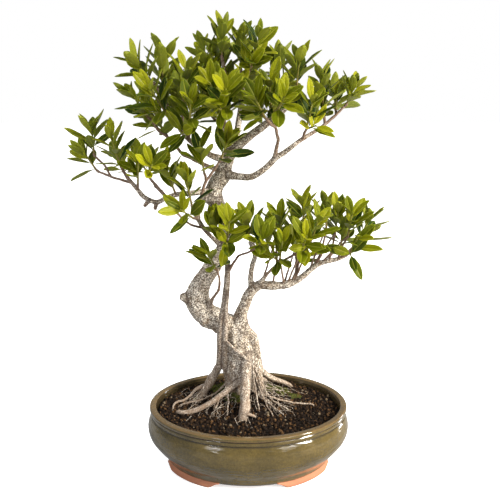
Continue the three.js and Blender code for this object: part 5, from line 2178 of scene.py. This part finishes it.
@dataclass
class Studio:
    """Pale floor, soft lights and the camera."""

    camera_place: Triple = (3.0, -1100.0, 650.0)
    camera_pitch: float = 75.4
    lens: float = 51.48
    floor_size: float = 14.0
    sky: float = 0.28
    bounce: float = 0.3
    glow: float = 0.6
    key_power: float = 4.6
    key_angle: float = 10.0
    key_way: Triple = (-0.73, 0.42, -0.54)

    def build(self) -> None:
        """Builds the floor, the lights and the camera."""
        self.floor()
        self.world()
        self.key()
        self.lamp("strip_right", (620, -900, 520), (0, 0, 60), (0.3, 0.05), 2.2)
        self.lamp("strip_left", (-500, -900, 420), (0, 0, 60), (0.22, 0.015), 1.1)
        self.lamp("window", (1100, 400, 150), (0, 0, 60), (0.25, 0.2), 3.5)
        front = self.lamp("fill_left", (-900, -900, 1000), (0, 0, 450), (1.0, 1.0), 9.0)
        warm = self.lamp("fill_right", (900, -350, 150), (0, 0, 60), (0.8, 0.8), 15.0)
        warm.data.color = (1.0, 0.9, 0.72)
        back = self.lamp("fill_back", (-600, 1400, 700), (0, 0, 300), (1.2, 1.2), 26.0)
        for fill in (front, warm, back):
            fill.visible_glossy = False
        self.camera()
        bpy.context.scene.view_settings.view_transform = "Standard"

    def floor(self) -> None:
        """Lays the white floor."""
        half = self.floor_size / 2.0
        mesh = bpy.data.meshes.new("floor")
        corners = [(-half, -half, 0.0), (half, -half, 0.0), (half, half, 0.0), (-half, half, 0.0)]
        mesh.from_pydata(corners, [], [(0, 1, 2, 3)])
        floor = bpy.data.objects.new("floor", mesh)
        material, canvas, shader = new_material("floor")
        seen = canvas.add("ShaderNodeLightPath").outputs["Is Camera Ray"]
        dressing = {
            "Base Color": canvas.mix(seen, (self.bounce,) * 3, (0.93,) * 3),
            "Roughness": 0.9,
            "Specular IOR Level": 0.1,
            "Emission Color": (1.0,) * 3,
            "Emission Strength": canvas.math("MULTIPLY", seen, self.glow),
        }
        canvas.plug(shader, dressing)
        mesh.materials.append(material)
        bpy.context.scene.collection.objects.link(floor)

    def world(self) -> None:
        """Makes the surroundings white to the eye and softer as a light."""
        world = bpy.data.worlds.new("studio")
        world.use_nodes = True
        canvas = Canvas(world.node_tree)
        seen = canvas.add("ShaderNodeLightPath").outputs["Is Camera Ray"]
        shine = canvas.range(seen, 0.0, 1.0, self.sky, 1.0)
        colour = canvas.mix(seen, (0.88, 0.94, 1.0), (1.0,) * 3)
        back = world.node_tree.nodes["Background"]
        canvas.plug(back, {"Color": colour, "Strength": shine})
        bpy.context.scene.world = world

    def key(self) -> None:
        """Makes the wide, even key light from the upper right of the front."""
        light = bpy.data.lights.new("key", "SUN")
        light.energy = self.key_power
        light.angle = math.radians(self.key_angle)
        light.color = (1.0, 0.95, 0.86)
        lamp = bpy.data.objects.new("key", light)
        lamp.rotation_euler = self.turn_to(np.array(self.key_way))
        bpy.context.scene.collection.objects.link(lamp)

    def turn_to(self, way: Array) -> Triple:
        """Angles that point the -Z axis of a light along a direction."""
        return (math.acos(-way[2] / np.linalg.norm(way)), 0.0, math.atan2(-way[0], way[1]))

    def lamp(
        self, name: str, place: Triple, aim: Triple, size: Pair, power: float
    ) -> bpy.types.Object:
        """Hangs a flat light. A long narrow one makes a gleam on the glaze.

        Args:
            name: Name of the light.
            place: Where it hangs.
            aim: The point it shines at.
            size: Its length and height in metres.
            power: Power in watts.

        Returns:
            The light.
        """
        light = bpy.data.lights.new(name, "AREA")
        light.shape = "RECTANGLE"
        light.size, light.size_y = size
        light.energy = power
        lamp = bpy.data.objects.new(name, light)
        spot = np.array(place) * MM + CENTRE
        lamp.location = spot
        lamp.rotation_euler = self.turn_to(np.array(aim) * MM + CENTRE - spot)
        bpy.context.scene.collection.objects.link(lamp)
        return lamp

    def camera(self) -> None:
        """Sets up the camera at the angle of the photograph."""
        data = bpy.data.cameras.new("camera")
        data.lens = self.lens
        data.sensor_width = 36.0
        data.clip_end = 30.0
        camera = bpy.data.objects.new("camera", data)
        camera.location = np.array(self.camera_place) * MM + CENTRE
        camera.rotation_euler = (math.radians(self.camera_pitch), 0.0, 0.0)
        bpy.context.scene.collection.objects.link(camera)
        bpy.context.scene.camera = camera


def main() -> None:
    """Builds the bonsai and its studio."""
    logging.basicConfig(level=logging.INFO, format="%(message)s")
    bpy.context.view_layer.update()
    effects = Effects()
    sprays = Growth().all()
    Pot().build(Glaze(effects))
    Ground().build(Soil(effects), Moss(effects))
    Tree().build(sprays, Bark(effects))
    Foliage().build(sprays, Leaf(effects))
    Studio().build()


if __name__ == "__main__":
    main()
